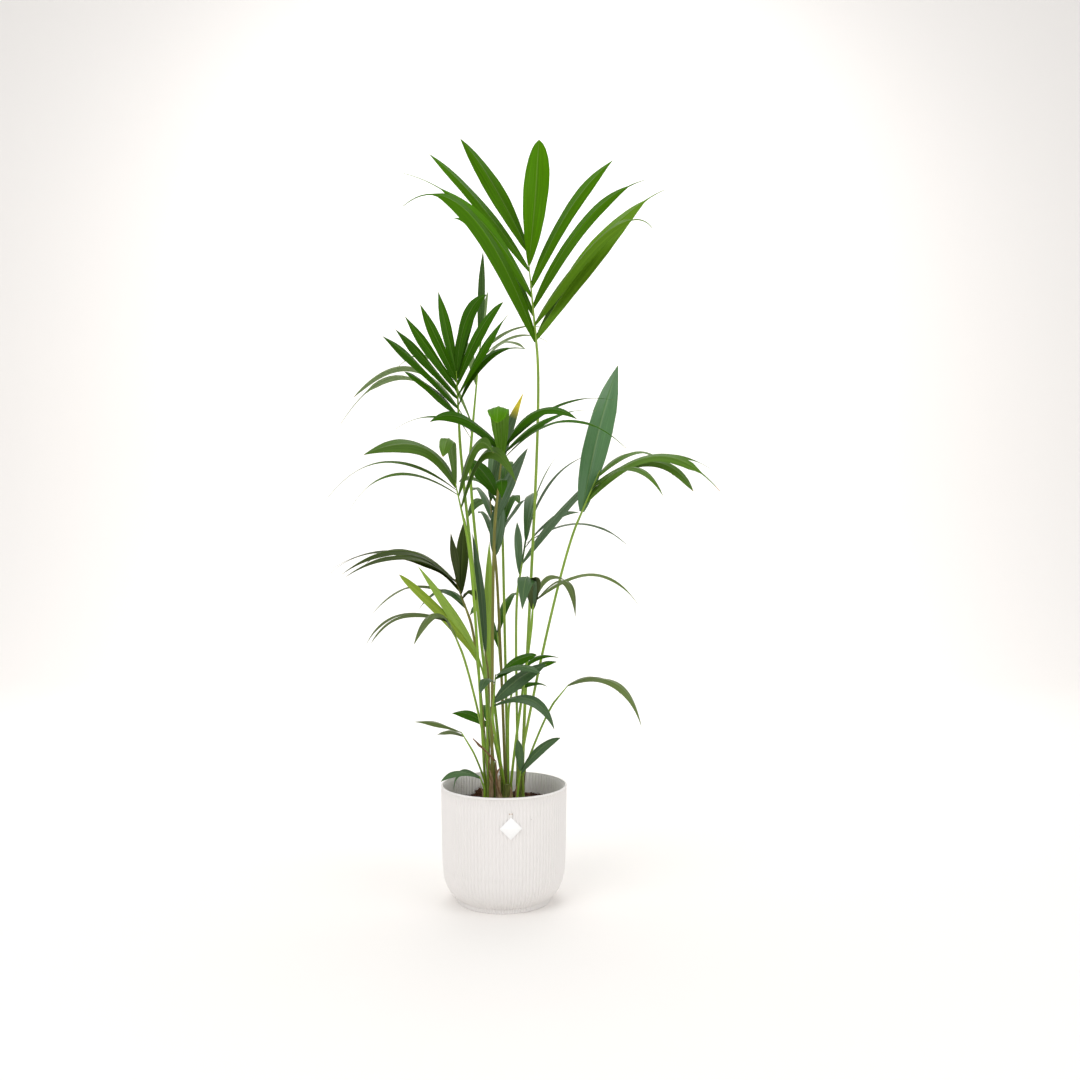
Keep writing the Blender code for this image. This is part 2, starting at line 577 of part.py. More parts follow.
def blade(frond, finish):
    """The rib with its leaflets, joined into one solid."""
    rib = rib_curve(frond)
    length = (rib[-1] - rib[0]).length
    start = GAP / length
    places = [start + (1 - start) * step / RIB_STEPS for step in range(RIB_STEPS + 1)]
    foot = top_radius(frond)
    radii = [(foot + (RIB_TIP_RADIUS - foot) * place) * CM for place in places]
    points, faces = lofted(tube_rings(rib, places, radii))
    made = new_object("blade_" + frond.name, points, faces, finish)
    leaves = bpy.data.collections.new("leaflets_" + frond.name)
    for number, spec in enumerate(frond.leaflets):
        leaf = new_object(f"leaflet_{frond.name}_{number}", *leaflet(frond, spec), finish)
        bpy.context.scene.collection.objects.unlink(leaf)
        leaves.objects.link(leaf)
    join = made.modifiers.new("leaflets", "BOOLEAN")
    join.operation = "UNION"
    join.operand_type = "COLLECTION"
    join.collection = leaves
    join.solver = "MANIFOLD"
    graph = bpy.context.evaluated_depsgraph_get()
    joined = bpy.data.meshes.new_from_object(made.evaluated_get(graph))
    made.modifiers.remove(join)
    drop_scraps(joined)
    made.data = joined
    for leaf in list(leaves.objects):
        bpy.data.objects.remove(leaf)
    bpy.data.collections.remove(leaves)
    return made


def main():
    for old in list(bpy.data.objects):
        bpy.data.objects.remove(old)
    whole = bpy.data.objects.new("kentia_palm", None)
    bpy.context.scene.collection.objects.link(whole)
    plastic = material("moulded plastic", (0.83, 0.80, 0.77), 0.6)
    earth = material("potting soil", (0.04, 0.015, 0.01), 0.95)
    card = material("white card", (0.85, 0.85, 0.84), 0.6)
    sheath = material("dry sheath", (0.30, 0.19, 0.10), 0.85)
    green_stalk = material("green stalk", (0.17, 0.27, 0.04), 0.5)
    green_leaf = material("green leaf", (0.045, 0.13, 0.01), 0.45)
    pieces = [pot(plastic), soil(earth), tag(card)]
    for name, (across, deep, top) in STEMS.items():
        pieces.append(stem(name, across, deep, top, sheath))
    for frond in FRONDS:
        pieces.append(stalk(frond, green_stalk))
        pieces.append(blade(frond, green_leaf))
    for piece in pieces:
        piece.parent = whole


main()
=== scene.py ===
"""The looks of a potted kentia palm, for Blender 4.5, laid out as an add-on and run as a script.

The plant is a clump of short stems in a ribbed pot. Its fronds grow from the same sizes and rules as
the solids of the frame, which these pieces replace. Metres, +Z up, with -Y towards the viewer.
"""

import json
import math
import random
from collections import namedtuple

import bpy
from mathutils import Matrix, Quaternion, Vector, noise

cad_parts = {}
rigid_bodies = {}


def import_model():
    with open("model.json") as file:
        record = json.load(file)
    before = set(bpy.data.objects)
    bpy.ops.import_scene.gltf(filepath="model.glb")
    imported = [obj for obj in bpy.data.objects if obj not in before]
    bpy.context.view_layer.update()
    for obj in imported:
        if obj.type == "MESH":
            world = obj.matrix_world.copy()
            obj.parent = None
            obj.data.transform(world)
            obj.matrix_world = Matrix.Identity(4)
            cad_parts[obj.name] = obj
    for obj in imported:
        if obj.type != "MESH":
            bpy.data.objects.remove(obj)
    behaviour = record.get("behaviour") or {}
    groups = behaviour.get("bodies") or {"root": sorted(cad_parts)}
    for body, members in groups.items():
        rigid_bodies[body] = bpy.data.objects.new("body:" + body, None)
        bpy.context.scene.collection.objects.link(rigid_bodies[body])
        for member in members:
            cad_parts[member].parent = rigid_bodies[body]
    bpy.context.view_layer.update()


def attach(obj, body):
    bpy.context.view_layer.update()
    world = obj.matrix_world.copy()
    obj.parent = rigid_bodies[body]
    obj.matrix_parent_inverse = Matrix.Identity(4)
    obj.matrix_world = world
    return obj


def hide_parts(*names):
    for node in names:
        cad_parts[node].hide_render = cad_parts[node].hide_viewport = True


bl_info = {
    "name": "Potted Kentia Palm",
    "version": (1, 0, 0),
    "blender": (4, 5, 0),
    "location": "View3D > Sidebar > Palm",
    "description": "Makes a kentia palm in its ribbed pot, piece by piece",
    "category": "Object",
}

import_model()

CM = 0.01
MM = 0.001
GAP = 0.35 * MM

# Pot, in mm: a ribbed drum with a rounded lower corner, on a short foot
POT_HEIGHT = 203.0
RIM_RADIUS = 111.0
WAIST_RADIUS = 107.3  # where the rounded corner ends
CORNER_TOP = 62.0
CORNER_ACROSS = 37.3
CORNER_DROP = 57.0
FOOT_RADIUS = 82.5
FOOT_HEIGHT = 8.5
RIM_BAND = 3.5
BAND_PROUD = 0.4
WALL = 3.0
FLOOR = 6.0
CORNER_STEPS = 16
DRUM_STEPS = 12
RIB_COLUMNS = 8
RIB_ROUNDING = 1.6  # the higher, the flatter a rib's crest and the tighter the groove beside it

# Soil, in mm
SOIL_TOP = 165.0
SOIL_CROWN = 3.0
SOIL_FLAT_RADIUS = 58.0
SOIL_CLEARANCE = 1.3  # between the soil and the inner wall's deepest line
SOIL_RING = 1.8
SOIL_SIDES = 200
SOIL_UNDERSIDE = FOOT_HEIGHT + 12
STREWN_MARGIN = 5.0  # bare soil along the wall
SOIL_LUMPS = ((2.2, 11.0), (0.9, 3.5))  # height and breadth
STEM_SUNK = 3.5  # how deep the stems' cores and the stalks' feet stand in it
STALK_SUNK = 3.0
KNOT_PLACE = (-45, 83, 166)
KNOT_SIZE = (10, 8, 9)
BRISTLE_SPACING = 2.2

# Tag, in mm: a blank square card that stands on its corner, with a neck under the rim
TAG_ACROSS = 14.9
TAG_MIDDLE = 152.0
TAG_HALF = 18.9
TAG_NECK_HALF = 2.6
TAG_TOP = 178.0
TAG_THICK = 0.8
TAG_ROUNDING = 0.35  # at its corners
TAG_EDGE = 0.12  # how far its two faces stop short of its outline
TAG_JOINT = 1.2  # how far the neck runs down behind the card's top corner
PRONG_ASIDE = 1.9
PRONG_DROP = 1.6

# Stems, in cm: place of the foot, and height of the flat top above the pot's underside
STEM_FOOT_RADIUS = 1.25
STEM_TOP_RADIUS = 0.98
STEM_CORE_RADIUS = 0.6 * STEM_TOP_RADIUS  # within the dry sheaths, which stand round it
STEM_FIBRES = 0.05  # how proud they stand
SHEATH_EDGE = 0.07
SEAT_RING = 0.62
STEMS = {
    "left_front": (-2.7, -2.1, 21.0),
    "left": (-2.3, 0.9, 21.8),
    "back": (-0.1, 3.4, 21.2),
    "front": (0.7, -2.7, 20.8),
    "right": (2.8, 0.5, 21.6),
}

# Viewing point, in cm from the origin. Places across and up are read in the upright plane through
# the pot's axis, as they look from this point.
VIEW_ACROSS = 6.35
VIEW_BACK = 196.0
VIEW_UP = 63.3
LENS = 37.03  # mm on a 36 mm sensor

# Stage, in m: the backdrop's bend and height, and each lamp's place, target and size, with its watts
BEND = 1.2
BEND_STEPS = 16
WALL_HEIGHT = 3.6
LAMPS = {
    "key": ((-1.6, -2.3, 2.7), (0, 0, 0.7), 2.2, 40.0),
    "fill": ((2.4, -1.8, 1.9), (0, 0, 0.7), 2.2, 20.0),
    "top": ((0.0, 0.9, 3.1), (0, 0, 0.7), 2.0, 20.0),
    "wall": ((0.0, 2.0, 2.7), (0, 4.0, 0.9), 2.0, 45.0),
}

# Limbs and leaflets, in cm
STALK_UPRIGHT = 0.3
STALK_FROM_FOOT = 0.33
STALK_IN_LINE = 0.15
STALK_TOP_RADIUS = 0.27
RIB_TIP_RADIUS = 0.1
RIB_NECK = 1.2
LAST_LEAF = 0.97
LEAF_MIDDLE = 0.45

# A leaflet's section, as shares of half its width
LEAF_PLEAT = 0.018
LEAF_MIDRIB = 0.03
LEAF_HOLLOW = 0.06

# Strands: how many steps each has and how they are spread, and a stalk's foot and streaks
LEAF_CROWDING = 1.15  # above 1, a leaflet's steps are closer together towards its tip
LEAF_WAVES = 1.3  # turns of the slow wave in how a leaflet faces
FOOT_STEPS = 5
FOOT_SPREAD = 0.3  # how much farther out than its seat a stalk's foot stands on the soil
FOOT_SWELL = 0.25  # how much thicker it is there
FOOT_SHARE = 0.04  # of a strand's streaks, which the stalk and the rib share out as well
STALK_STEPS = 26
STALK_SHARE = 0.76
RIB_STEPS = 8
SHEATH_STEPS = 14
CURL_STEPS = 14

FACE_VIEW = (0.0, -0.75, 0.65)
FACE_UP = (0.0, -0.35, 0.95)
FACE_BACK = (0.0, 0.6, 0.8)

# A frond stands on a stem at a seat, an angle in degrees about the stem from +X towards +Y, or on
# the soil where its stem is a pair of numbers. Its stalk ends at base, and its rib runs on to tip,
# both (across, up, deep) in cm. Each leaflet is (place on the rib from 0 to 1, tip across, tip up,
# tip deep, width, bow above its straight line, and where along that line the bow is centred).
Frond = namedtuple("Frond", "name stem seat base tip foot_radius face leaflets")
FRONDS = (
    Frond("crown", "right", 50, (5.8, 96.8, 2.0), (4.1, 114.8, 3.5), 0.34, FACE_VIEW, (
        (0.02, -17.8, 122.2, -9.0, 4.4, 7.7, 0.95),
        (0.05, 28.2, 125.0, -5.0, 4.6, 2.4, 0.75),
        (0.20, 26.1, 118.4, -12.0, 4.0, 4.6, 0.95),
        (0.38, 24.8, 126.8, 5.0, 2.8, 3.0, 0.7),
        (0.50, -17.8, 128.0, -3.0, 3.5, 3.5, 0.65),
        (0.60, 19.2, 130.3, 11.0, 2.8, 1.7, 0.6),
        (0.78, -13.2, 131.4, 10.0, 2.5, 1.0, 0.6),
        (0.84, 6.2, 133.9, 0.0, 4.6, -0.3, 0.5),
        (1.00, -7.7, 134.1, 5.0, 3.5, 0.7, 0.6),
        (0.30, -9.0, 120.0, 15.0, 2.6, 3.0, 0.8),
    )),
    Frond("upper_left", "left", 344, (-7.8, 81.5, -5.0), (-8.4, 93.1, -6.5), 0.3, FACE_VIEW, (
        (0.98, -11.6, 107.1, -4.0, 1.9, 0.0, 0.5),
        (0.84, -14.8, 104.9, -9.0, 2.0, 0.0, 0.5),
        (0.70, -17.5, 102.8, -12.0, 2.2, 0.0, 0.5),
        (0.55, -19.2, 100.5, -15.0, 2.4, 0.2, 0.6),
        (0.38, -21.5, 99.3, -18.0, 2.6, 0.6, 0.6),
        (0.24, -17.6, 93.0, -14.0, 2.6, 0.6, 0.6),
        (1.00, -3.0, 106.6, -8.0, 2.3, 1.8, 0.8),
        (0.90, -4.9, 104.9, -2.0, 2.3, 1.2, 0.6),
        (0.78, -0.1, 105.3, -11.0, 2.2, 1.2, 0.7),
        (0.60, 0.7, 103.0, -16.0, 2.2, 0.6, 0.7),
        (0.42, 3.9, 97.0, -13.0, 1.9, 3.4, 0.6),
    )),
    Frond("upper_back", "back", 217, (-5.9, 79.2, 8.0), (-4.2, 98.0, 12.0), 0.27, FACE_BACK, (
        (1.00, -3.7, 114.3, 14.0, 1.4, 0.2, 0.5),
        (0.96, -2.8, 107.2, 19.0, 0.9, 0.6, 0.6),
        (0.10, -26.5, 88.5, 13.0, 1.8, 8.3, 0.65),
        (0.04, -28.8, 83.8, 19.0, 1.8, 10.2, 0.6),
        (0.18, -18.7, 93.8, 27.0, 1.7, 6.0, 0.7),
        (0.92, 7.2, 100.7, 15.0, 1.6, 2.0, 0.6),
        (0.84, 7.8, 98.2, 22.0, 1.6, 2.8, 0.6),
        (0.74, 3.7, 97.0, 28.0, 1.7, 3.0, 0.6),
        (0.60, -8.5, 97.0, 31.0, 2.2, 4.0, 0.7),
    )),
    Frond("centre", "left_front", 0, (-1.4, 68.8, -7.0), (-0.2, 79.9, -10.0), 0.28, FACE_VIEW, (
        (0.84, -1.3, 84.0, -21.0, 3.4, 4.5, 0.8),
        (0.94, 12.9, 84.6, -17.0, 2.0, 3.7, 0.6),
        (0.98, 19.2, 88.0, -8.0, 1.8, 2.9, 0.6),
        (0.86, 16.2, 86.1, -2.0, 1.8, 2.2, 0.6),
        (0.74, 21.5, 79.5, -23.0, 2.0, 5.5, 0.55),
        (0.95, -13.1, 84.1, -13.0, 2.4, 2.5, 0.75),
        (0.90, -21.3, 81.1, -5.0, 1.6, 4.9, 0.6),
        (0.12, -6.4, 77.8, -3.5, 3.0, 0.5, 0.5),
        (0.34, -0.4, 70.6, -12.5, 2.0, 2.2, 0.7),
    )),
    Frond("centre_back", "back", 289, (-1.4, 58.6, 8.0), (-2.5, 71.4, 11.0), 0.26, FACE_BACK, (
        (0.92, 3.4, 89.2, 9.0, 2.1, 0.8, 0.5),
        (0.30, -4.6, 68.0, 20.0, 2.0, 2.0, 0.6),
        (0.62, -5.6, 72.0, 25.0, 2.2, 2.4, 0.6),
        (0.42, 1.8, 72.9, 15.0, 3.0, 1.6, 0.6),
        (0.14, 3.7, 70.4, 17.0, 2.0, 1.2, 0.6),
        (0.98, -1.0, 80.0, 25.0, 2.6, 2.4, 0.7),
        (0.08, -0.6, 70.5, 11.5, 3.0, 0.4, 0.5),
        (0.50, 4.2, 79.5, 13.0, 2.8, 0.8, 0.5),
    )),
    Frond("left", "left_front", 150, (-6.8, 65.6, -10.0), (-8.6, 73.4, -12.0), 0.27, FACE_VIEW, (
        (0.90, -24.8, 78.3, -19.0, 3.2, 4.2, 0.45),
        (1.00, -10.8, 78.0, -22.0, 2.2, 4.8, 0.7),
        (0.82, -31.4, 70.4, -13.0, 1.3, 5.6, 0.55),
        (0.70, -28.2, 66.8, -7.0, 1.3, 5.8, 0.55),
        (0.66, -1.9, 78.6, -18.0, 2.4, 3.6, 1.0),
        (0.34, 2.1, 73.5, -17.0, 2.3, 6.6, 0.85),
    )),
    Frond("left_low", "left", 200, (-6.1, 49.6, -1.0), (-8.6, 56.4, -2.0), 0.27, FACE_UP, (
        (0.56, -6.9, 67.1, 0.5, 2.3, 0.3, 0.5),
        (0.68, -9.4, 64.6, -7.0, 1.8, 0.5, 0.5),
        (0.72, -28.8, 57.1, -9.0, 2.8, 5.2, 0.5),
        (0.82, -31.2, 57.7, -2.0, 1.7, 4.8, 0.5),
        (0.80, -28.2, 56.6, -15.0, 2.4, 4.3, 0.5),
        (1.00, -32.5, 55.4, 5.0, 1.6, 5.4, 0.6),
        (0.92, -24.5, 59.0, 13.0, 1.9, 4.0, 0.6),
        (0.40, -4.9, 52.6, -4.5, 1.6, 1.6, 0.6),
        (0.62, -17.6, 59.8, -6.0, 2.2, 1.4, 0.5),
        (0.10, -15.2, 50.8, 3.0, 2.4, 3.4, 0.4),
        (0.22, -23.5, 49.9, 6.0, 1.5, 4.3, 0.5),
    )),
    Frond("young", "left_front", 270, (-3.6, 39.6, -3.0), (-4.8, 43.6, -3.8), 0.22, FACE_VIEW, (
        (0.30, -18.5, 57.2, -10.0, 1.9, 0.9, 0.35),
        (0.05, -15.2, 58.7, -8.5, 1.9, 0.6, 0.4),
    )),
    Frond("left_arch", "left", 272, (-7.6, 44.0, -7.0), (-10.0, 49.6, -9.0), 0.24, FACE_UP, (
        (0.16, -15.9, 44.8, -15.0, 2.2, 4.6, 0.45),
        (0.84, -23.5, 45.0, -13.0, 1.8, 3.0, 0.6),
        (0.92, -24.5, 44.4, -8.0, 1.8, 3.4, 0.6),
    )),
    Frond("right", "right", 230, (12.9, 66.4, -3.0), (16.9, 75.6, -3.0), 0.3, FACE_VIEW, (
        (0.10, 20.1, 94.1, 1.0, 4.7, 0.5, 0.5),
        (0.30, 38.1, 71.9, -9.0, 2.1, 6.8, 0.58),
        (0.60, 28.1, 71.0, -15.0, 1.7, 4.2, 0.6),
        (0.68, 33.4, 71.9, -4.0, 1.9, 4.6, 0.65),
        (0.48, 37.4, 75.2, 4.0, 1.7, 4.8, 0.58),
        (0.86, 30.0, 74.4, 13.0, 1.9, 4.6, 0.6),
    )),
    Frond("right_back", "right", 140, (2.5, 55.2, 6.0), (3.9, 63.4, 8.0), 0.26, FACE_BACK, (
        (0.12, 2.3, 66.5, 11.0, 1.6, 0.3, 0.5),
        (0.30, 11.6, 80.1, 19.0, 1.1, 3.6, 0.6),
        (0.52, 14.3, 78.1, 13.0, 1.6, 3.4, 0.6),
        (0.40, 16.9, 74.8, 7.0, 2.0, 0.8, 0.6),
        (0.80, 13.3, 68.1, 15.0, 1.8, 1.9, 0.6),
        (0.92, 21.6, 62.5, 20.0, 1.5, 3.9, 0.55),
        (1.00, 5.5, 70.0, 27.0, 2.4, 4.0, 0.7),
    )),
    Frond("curled", "front", 20, (4.9, 48.8, -9.0), (5.2, 52.6, -10.5), 0.24, FACE_UP, (
        (0.44, 5.6, 56.7, -18.0, 2.2, 1.6, 0.6),
        (0.62, 3.2, 51.0, -20.0, 3.0, 5.0, 0.6),
        (0.76, 12.6, 49.7, -15.0, 1.7, 5.2, 0.7),
        (0.94, 23.8, 51.7, -10.0, 1.7, 5.0, 0.6),
        (1.00, 11.5, 55.5, -6.5, 1.6, 2.6, 0.6),
    )),
    Frond("low_front", "front", 160, (-2.0, 32.4, -7.0), (-1.5, 39.6, -9.0), 0.23, FACE_VIEW, (
        (0.90, 5.8, 43.0, -15.0, 2.5, 0.7, 0.6),
        (0.76, -4.2, 36.1, -14.0, 1.6, 1.6, 0.6),
        (1.00, 6.4, 39.7, -20.0, 1.7, 1.2, 0.6),
        (0.20, 7.5, 41.4, -11.0, 3.0, 0.6, 0.5),
        (0.08, 8.9, 29.8, -13.0, 1.9, 3.3, 0.6),
    )),
    Frond("low_centre", "front", 80, (1.0, 34.6, -4.5), (1.9, 38.6, -5.0), 0.22, FACE_UP, (
        (0.30, 7.7, 37.4, -1.0, 1.6, 1.0, 0.6),
        (0.64, 9.4, 41.8, -4.5, 2.2, 1.0, 0.6),
        (0.86, 10.0, 42.4, -4.0, 1.3, 2.0, 0.6),
    )),
    Frond("right_arch", "right", 320, (9.0, 34.9, -2.0), (11.4, 37.8, -3.0), 0.24, FACE_UP, (
        (0.90, 24.3, 30.2, -7.0, 2.0, 4.4, 0.5),
        (0.98, 20.8, 35.6, 4.0, 1.6, 2.4, 0.6),
    )),
    Frond("left_short", "left_front", 215, (-5.7, 26.4, -6.5), (-7.6, 29.5, -7.5), 0.21, FACE_UP, (
        (0.95, -15.9, 31.2, -10.0, 1.6, 0.5, 0.6),
        (0.60, -12.0, 28.7, -3.0, 1.6, 0.8, 0.6),
    )),
    Frond("back_short", "back", 145, (-1.8, 28.2, 5.0), (-2.6, 30.6, 5.8), 0.21, FACE_VIEW, (
        (0.66, -9.2, 32.7, 9.0, 1.9, 0.9, 0.6),
        (0.95, -4.0, 33.0, 16.0, 2.0, 2.2, 0.6),
    )),
    Frond("back_high", "back", 1, (-0.2, 62.0, 14.0), (-0.4, 71.0, 18.5), 0.26, FACE_BACK, (
        (0.30, 2.8, 69.5, 31.0, 2.4, 3.6, 0.6),
        (0.45, -6.5, 67.0, 32.0, 2.4, 4.0, 0.6),
        (0.66, -8.0, 73.5, 31.0, 2.4, 3.0, 0.6),
        (0.80, 1.2, 76.5, 36.0, 2.3, 3.0, 0.7),
        (1.00, -2.6, 80.0, 31.0, 2.2, 2.6, 0.7),
    )),
    Frond("back_low", "back", 73, (-0.6, 41.4, 10.0), (-1.2, 47.0, 13.0), 0.24, FACE_BACK, (
        (0.40, -6.0, 50.0, 28.0, 2.3, 4.0, 0.6),
        (0.90, 2.6, 53.5, 27.0, 2.2, 3.0, 0.6),
        (0.60, -3.0, 43.5, 25.0, 2.0, 3.4, 0.6),
    )),
    Frond("dark_spear", "left", 128, (-2.9, 41.0, 0.5), (-3.4, 44.0, 0.6), 0.22, FACE_VIEW, (
        (0.60, -5.6, 64.5, 1.5, 1.4, 0.4, 0.5),
    )),
    Frond("pale_spear", "left", 56, (-2.8, 34.6, 3.2), (-2.8, 38.0, 3.4), 0.2, FACE_VIEW, (
        (0.60, -2.6, 63.0, 4.5, 1.8, 0.2, 0.5),
    )),
    Frond("rim_right", (2.3, -5.4), 0, (2.6, 20.4, -5.8), (3.0, 22.6, -6.2), 0.18, FACE_VIEW, (
        (0.60, 10.0, 28.4, -9.5, 1.8, 0.8, 0.6),
        (0.90, 2.4, 28.2, -8.5, 1.5, 0.3, 0.5),
    )),
    Frond("rim_left", (-3.4, -5.2), 0, (-3.5, 19.6, -6.0), (-4.3, 21.6, -6.4), 0.18, FACE_VIEW, (
        (0.90, -11.2, 20.6, -9.0, 1.2, 1.1, 0.6),
        (0.60, -8.9, 19.2, -4.2, 1.2, 2.2, 0.6),
    )),
)

# Share of a leaflet's full width at places along it: most taper to both ends, and some are oblong or
# as wide as a strap
OUTLINES = {
    "tapered": ((0, 0.18), (0.05, 0.4), (0.18, 0.7), (0.38, 0.95), (0.54, 1.0), (0.7, 0.88), (0.82, 0.62),
                (0.91, 0.34), (0.97, 0.13), (1, 0.02)),
    "oblong": ((0, 0.08), (0.07, 0.3), (0.22, 0.62), (0.42, 0.88), (0.62, 1.0), (0.76, 0.96), (0.87, 0.78),
               (0.94, 0.52), (0.98, 0.28), (1, 0.04)),
    "strap": ((0, 0.25), (0.08, 0.55), (0.22, 0.85), (0.45, 1.0), (0.8, 0.98), (0.92, 0.75), (1, 0.1)),
}
LEAF_OUTLINES = {("crown", 7): "oblong", ("young", 0): "oblong", ("centre", 0): "strap",
                 ("left", 1): "strap", ("upper_back", 2): "strap", ("upper_back", 3): "strap",
                 ("upper_back", 4): "strap", ("right", 1): "strap", ("right", 3): "strap",
                 ("right", 4): "strap"}

# Where along a leaflet the long thread starts that it ends in
THREADS = {
    ("crown", 0): 0.76, ("crown", 1): 0.84, ("crown", 2): 0.74, ("crown", 3): 0.88, ("crown", 4): 0.74,
    ("upper_left", 9): 0.9, ("upper_left", 10): 0.85, ("upper_back", 3): 0.8, ("upper_back", 4): 0.8,
    ("upper_back", 5): 0.8, ("upper_back", 6): 0.8, ("centre", 2): 0.8, ("centre", 3): 0.8,
    ("centre", 4): 0.8, ("centre", 6): 0.7, ("left", 2): 0.75, ("left", 3): 0.8, ("left_low", 3): 0.8,
    ("left_low", 5): 0.8, ("right", 1): 0.85, ("right", 4): 0.85, ("right_back", 1): 0.8,
    ("right_back", 5): 0.9, ("curled", 3): 0.93,
}
THREAD_WIDTH = 0.3  # cm
THREAD_TAPER = 0.65  # the share of its width that it loses by its end

# Leaflets that turn their edge to the viewer, and the share of their roll that they keep
EDGE_ON = {
    "left": (2, 3), "centre": (2, 3, 4, 6), "right": (2, 4, 5), "upper_back": (2, 3, 4, 5, 6, 7, 8),
    "left_low": (2, 3, 4, 5, 6, 10), "right_back": (1, 2, 5), "left_arch": (1, 2),
}
EDGE_ON_ROLL = 0.45

# Tints of leaflets: upper side, its darker streaks, underside, specular level, and the tip's colour
# with the place along the leaflet where it starts. Several of them are painted light, as noted at each
TINTS = {
    # Painted light: a brighter, more saturated green that stands in for light shining through the crown's
    # leaflets
    "sunlit": ("4a8000", "3c6400", "6b8f3c", 0.05, "5a7a14", 0.985),
    # A lighter, yellower copy of sunlit, as more painted light on two leaflets at the crown's right
    "gilded": ("648c1c", "4e7412", "7f9a4c", 0.05, "6a8020", 0.985),
    "mid": ("386802", "284c02", "5f7d48", 0.06, "8a8440", 0.98),
    "fresh": ("557b1c", "406012", "6f8c52", 0.2, "8a8440", 0.98),
    # The big right blade: its green is lightened and greyed as painted sheen, besides its high specular
    # level
    "deep": ("4a7a40", "34622c", "5c7d50", 0.7, "6a7440", 0.985),
    # Painted shade: a dim olive green for the low left frond's leaflets and one curled leaflet
    "dusk": ("405210", "2a390b", "5f6b44", 0.1, "8a8440", 0.97),
    "backed": ("4a7434", "365a24", "6c8468", 0.4, "7a8048", 0.98),
    "yellowing": ("3f6c1a", "2c5010", "5a7052", 0.3, "f2de3c", 0.76),
    "browning": ("557b1c", "406012", "6f8c52", 0.2, "a8782c", 0.955),
    "slate": ("466638", "34502c", "62775a", 0.35, "8a8440", 0.98),
    "olive": ("65783a", "4e602c", "7a8a5c", 0.3, "8a8440", 0.98),
    "lime": ("9cbc50", "83a43a", "a8c470", 0.2, "9a9458", 0.985),
    "young": ("93a931", "74902a", "9db06c", 0.2, "8a8440", 0.985),
    # Its underside colour is lightened as painted light, for the glow of light shining through the upper
    # back frond's leaflets
    "pale": ("789450", "5d7836", "98ad7c", 0.2, "9a9458", 0.98),
}
FROND_TINTS = {
    "crown": "sunlit", "upper_left": "mid", "upper_back": "pale", "centre": "mid",
    "centre_back": "backed", "left": "fresh", "left_low": "dusk", "young": "young",
    "left_arch": "olive", "right": "fresh", "right_back": "backed", "curled": "olive",
    "low_front": "slate", "low_centre": "mid", "right_arch": "olive", "left_short": "olive",
    "back_short": "mid", "back_high": "mid", "back_low": "mid", "dark_spear": "slate",
    "pale_spear": "lime", "rim_right": "slate", "rim_left": "slate",
}
LEAF_TINTS = {
    ("right", 0): "deep", ("right", 1): "browning", ("young", 1): "lime", ("low_front", 0): "mid",
    ("curled", 0): "dusk", ("curled", 1): "slate", ("upper_back", 0): "mid", ("crown", 1): "gilded",
    ("crown", 2): "gilded", ("centre", 0): "sunlit", ("centre_back", 0): "yellowing",
    ("left_low", 9): "backed", ("left_low", 10): "olive",
}

# Stalk colours: skin, its darker streaks, and the fronds that have them
STALKS = {
    "green": ("86ac26", "608218", ("upper_left", "upper_back", "left", "young", "curled", "low_front",
                                   "low_centre", "right_arch", "left_short", "pale_spear",
                                   "rim_right", "rim_left", "back_short")),
    "yellow": ("8cab34", "6c8e26", ("crown", "right", "left_arch", "right_back", "back_high",
                                    "back_low")),
    "olive": ("82802f", "62621f", ("centre", "centre_back", "left_low", "dark_spear")),
}

# Dry remains of old sheaths: place (across, deep), foot and tip heights, and width, in cm, then the
# direction they face, in degrees from +X, and how far the tip leans out
SHEATHS = (
    (-0.7, -3.4, 17.6, 22.6, 0.9, 262, 0.5),
    (1.3, -3.7, 16.8, 20.6, 0.9, 285, 0.3),
    (2.3, -1.4, 16.8, 20.9, 0.8, 300, 0.4),
    (-2.2, -3.2, 16.8, 23.4, 1.1, 250, 0.2),
    (-1.4, 0.4, 16.8, 24.4, 0.9, 275, 0.3),
    (3.5, 1.3, 16.8, 22.6, 0.9, 40, 0.4),
    (0.4, 4.4, 16.8, 22.8, 1.0, 80, 0.4),
    (-3.3, 1.6, 16.8, 22.4, 0.9, 150, 0.4),
    (-3.6, -2.4, 16.8, 21.0, 0.8, 200, 0.5),
)

# Withered curls: root, bend and tip, each (across, up, deep) in cm, then the width
CURLS = (
    ((-1.5, 24.4, -3.6), (-3.0, 26.2, -6.0), (-5.5, 28.3, -6.2), 1.0),
    ((-0.5, 18.2, -4.6), (-2.0, 22.0, -6.6), (-0.3, 23.4, -6.4), 0.7),
    ((-2.2, 20.8, -3.4), (-3.0, 23.4, -5.2), (-2.4, 25.2, -6.2), 0.5),
)


def linear(code):
    """A hex sRGB colour as linear red, green, blue and alpha."""
    parts = [int(code[start:start + 2], 16) / 255 for start in (0, 2, 4)]
    return (*[part / 12.92 if part <= 0.04045 else ((part + 0.055) / 1.055) ** 2.4 for part in parts], 1.0)


def join(node, links):
    """Sets a node's inputs by their keys, each to a value, a socket, or a node's first output in use."""
    for key, value in links.items():
        if isinstance(value, bpy.types.Node):
            value = next(socket for socket in value.outputs if socket.enabled)
        if isinstance(value, bpy.types.NodeSocket):
            node.id_data.links.new(value, node.inputs[key])
        else:
            node.inputs[key].default_value = value
    return node


def add(tree, kind, links=None, **settings):
    """A new node with its settings, and with its inputs joined or set."""
    node = tree.nodes.new(kind)
    for name, value in settings.items():
        setattr(node, name, value)
    return join(node, links or {})


def surface(name, roughness, specular=0.5):
    """A new material, with its tree and its Principled shader."""
    made = bpy.data.materials.new(name)
    made.use_nodes = True
    shader = made.node_tree.nodes["Principled BSDF"]
    join(shader, {"Roughness": roughness, "Specular IOR Level": specular})
    return made, made.node_tree, shader


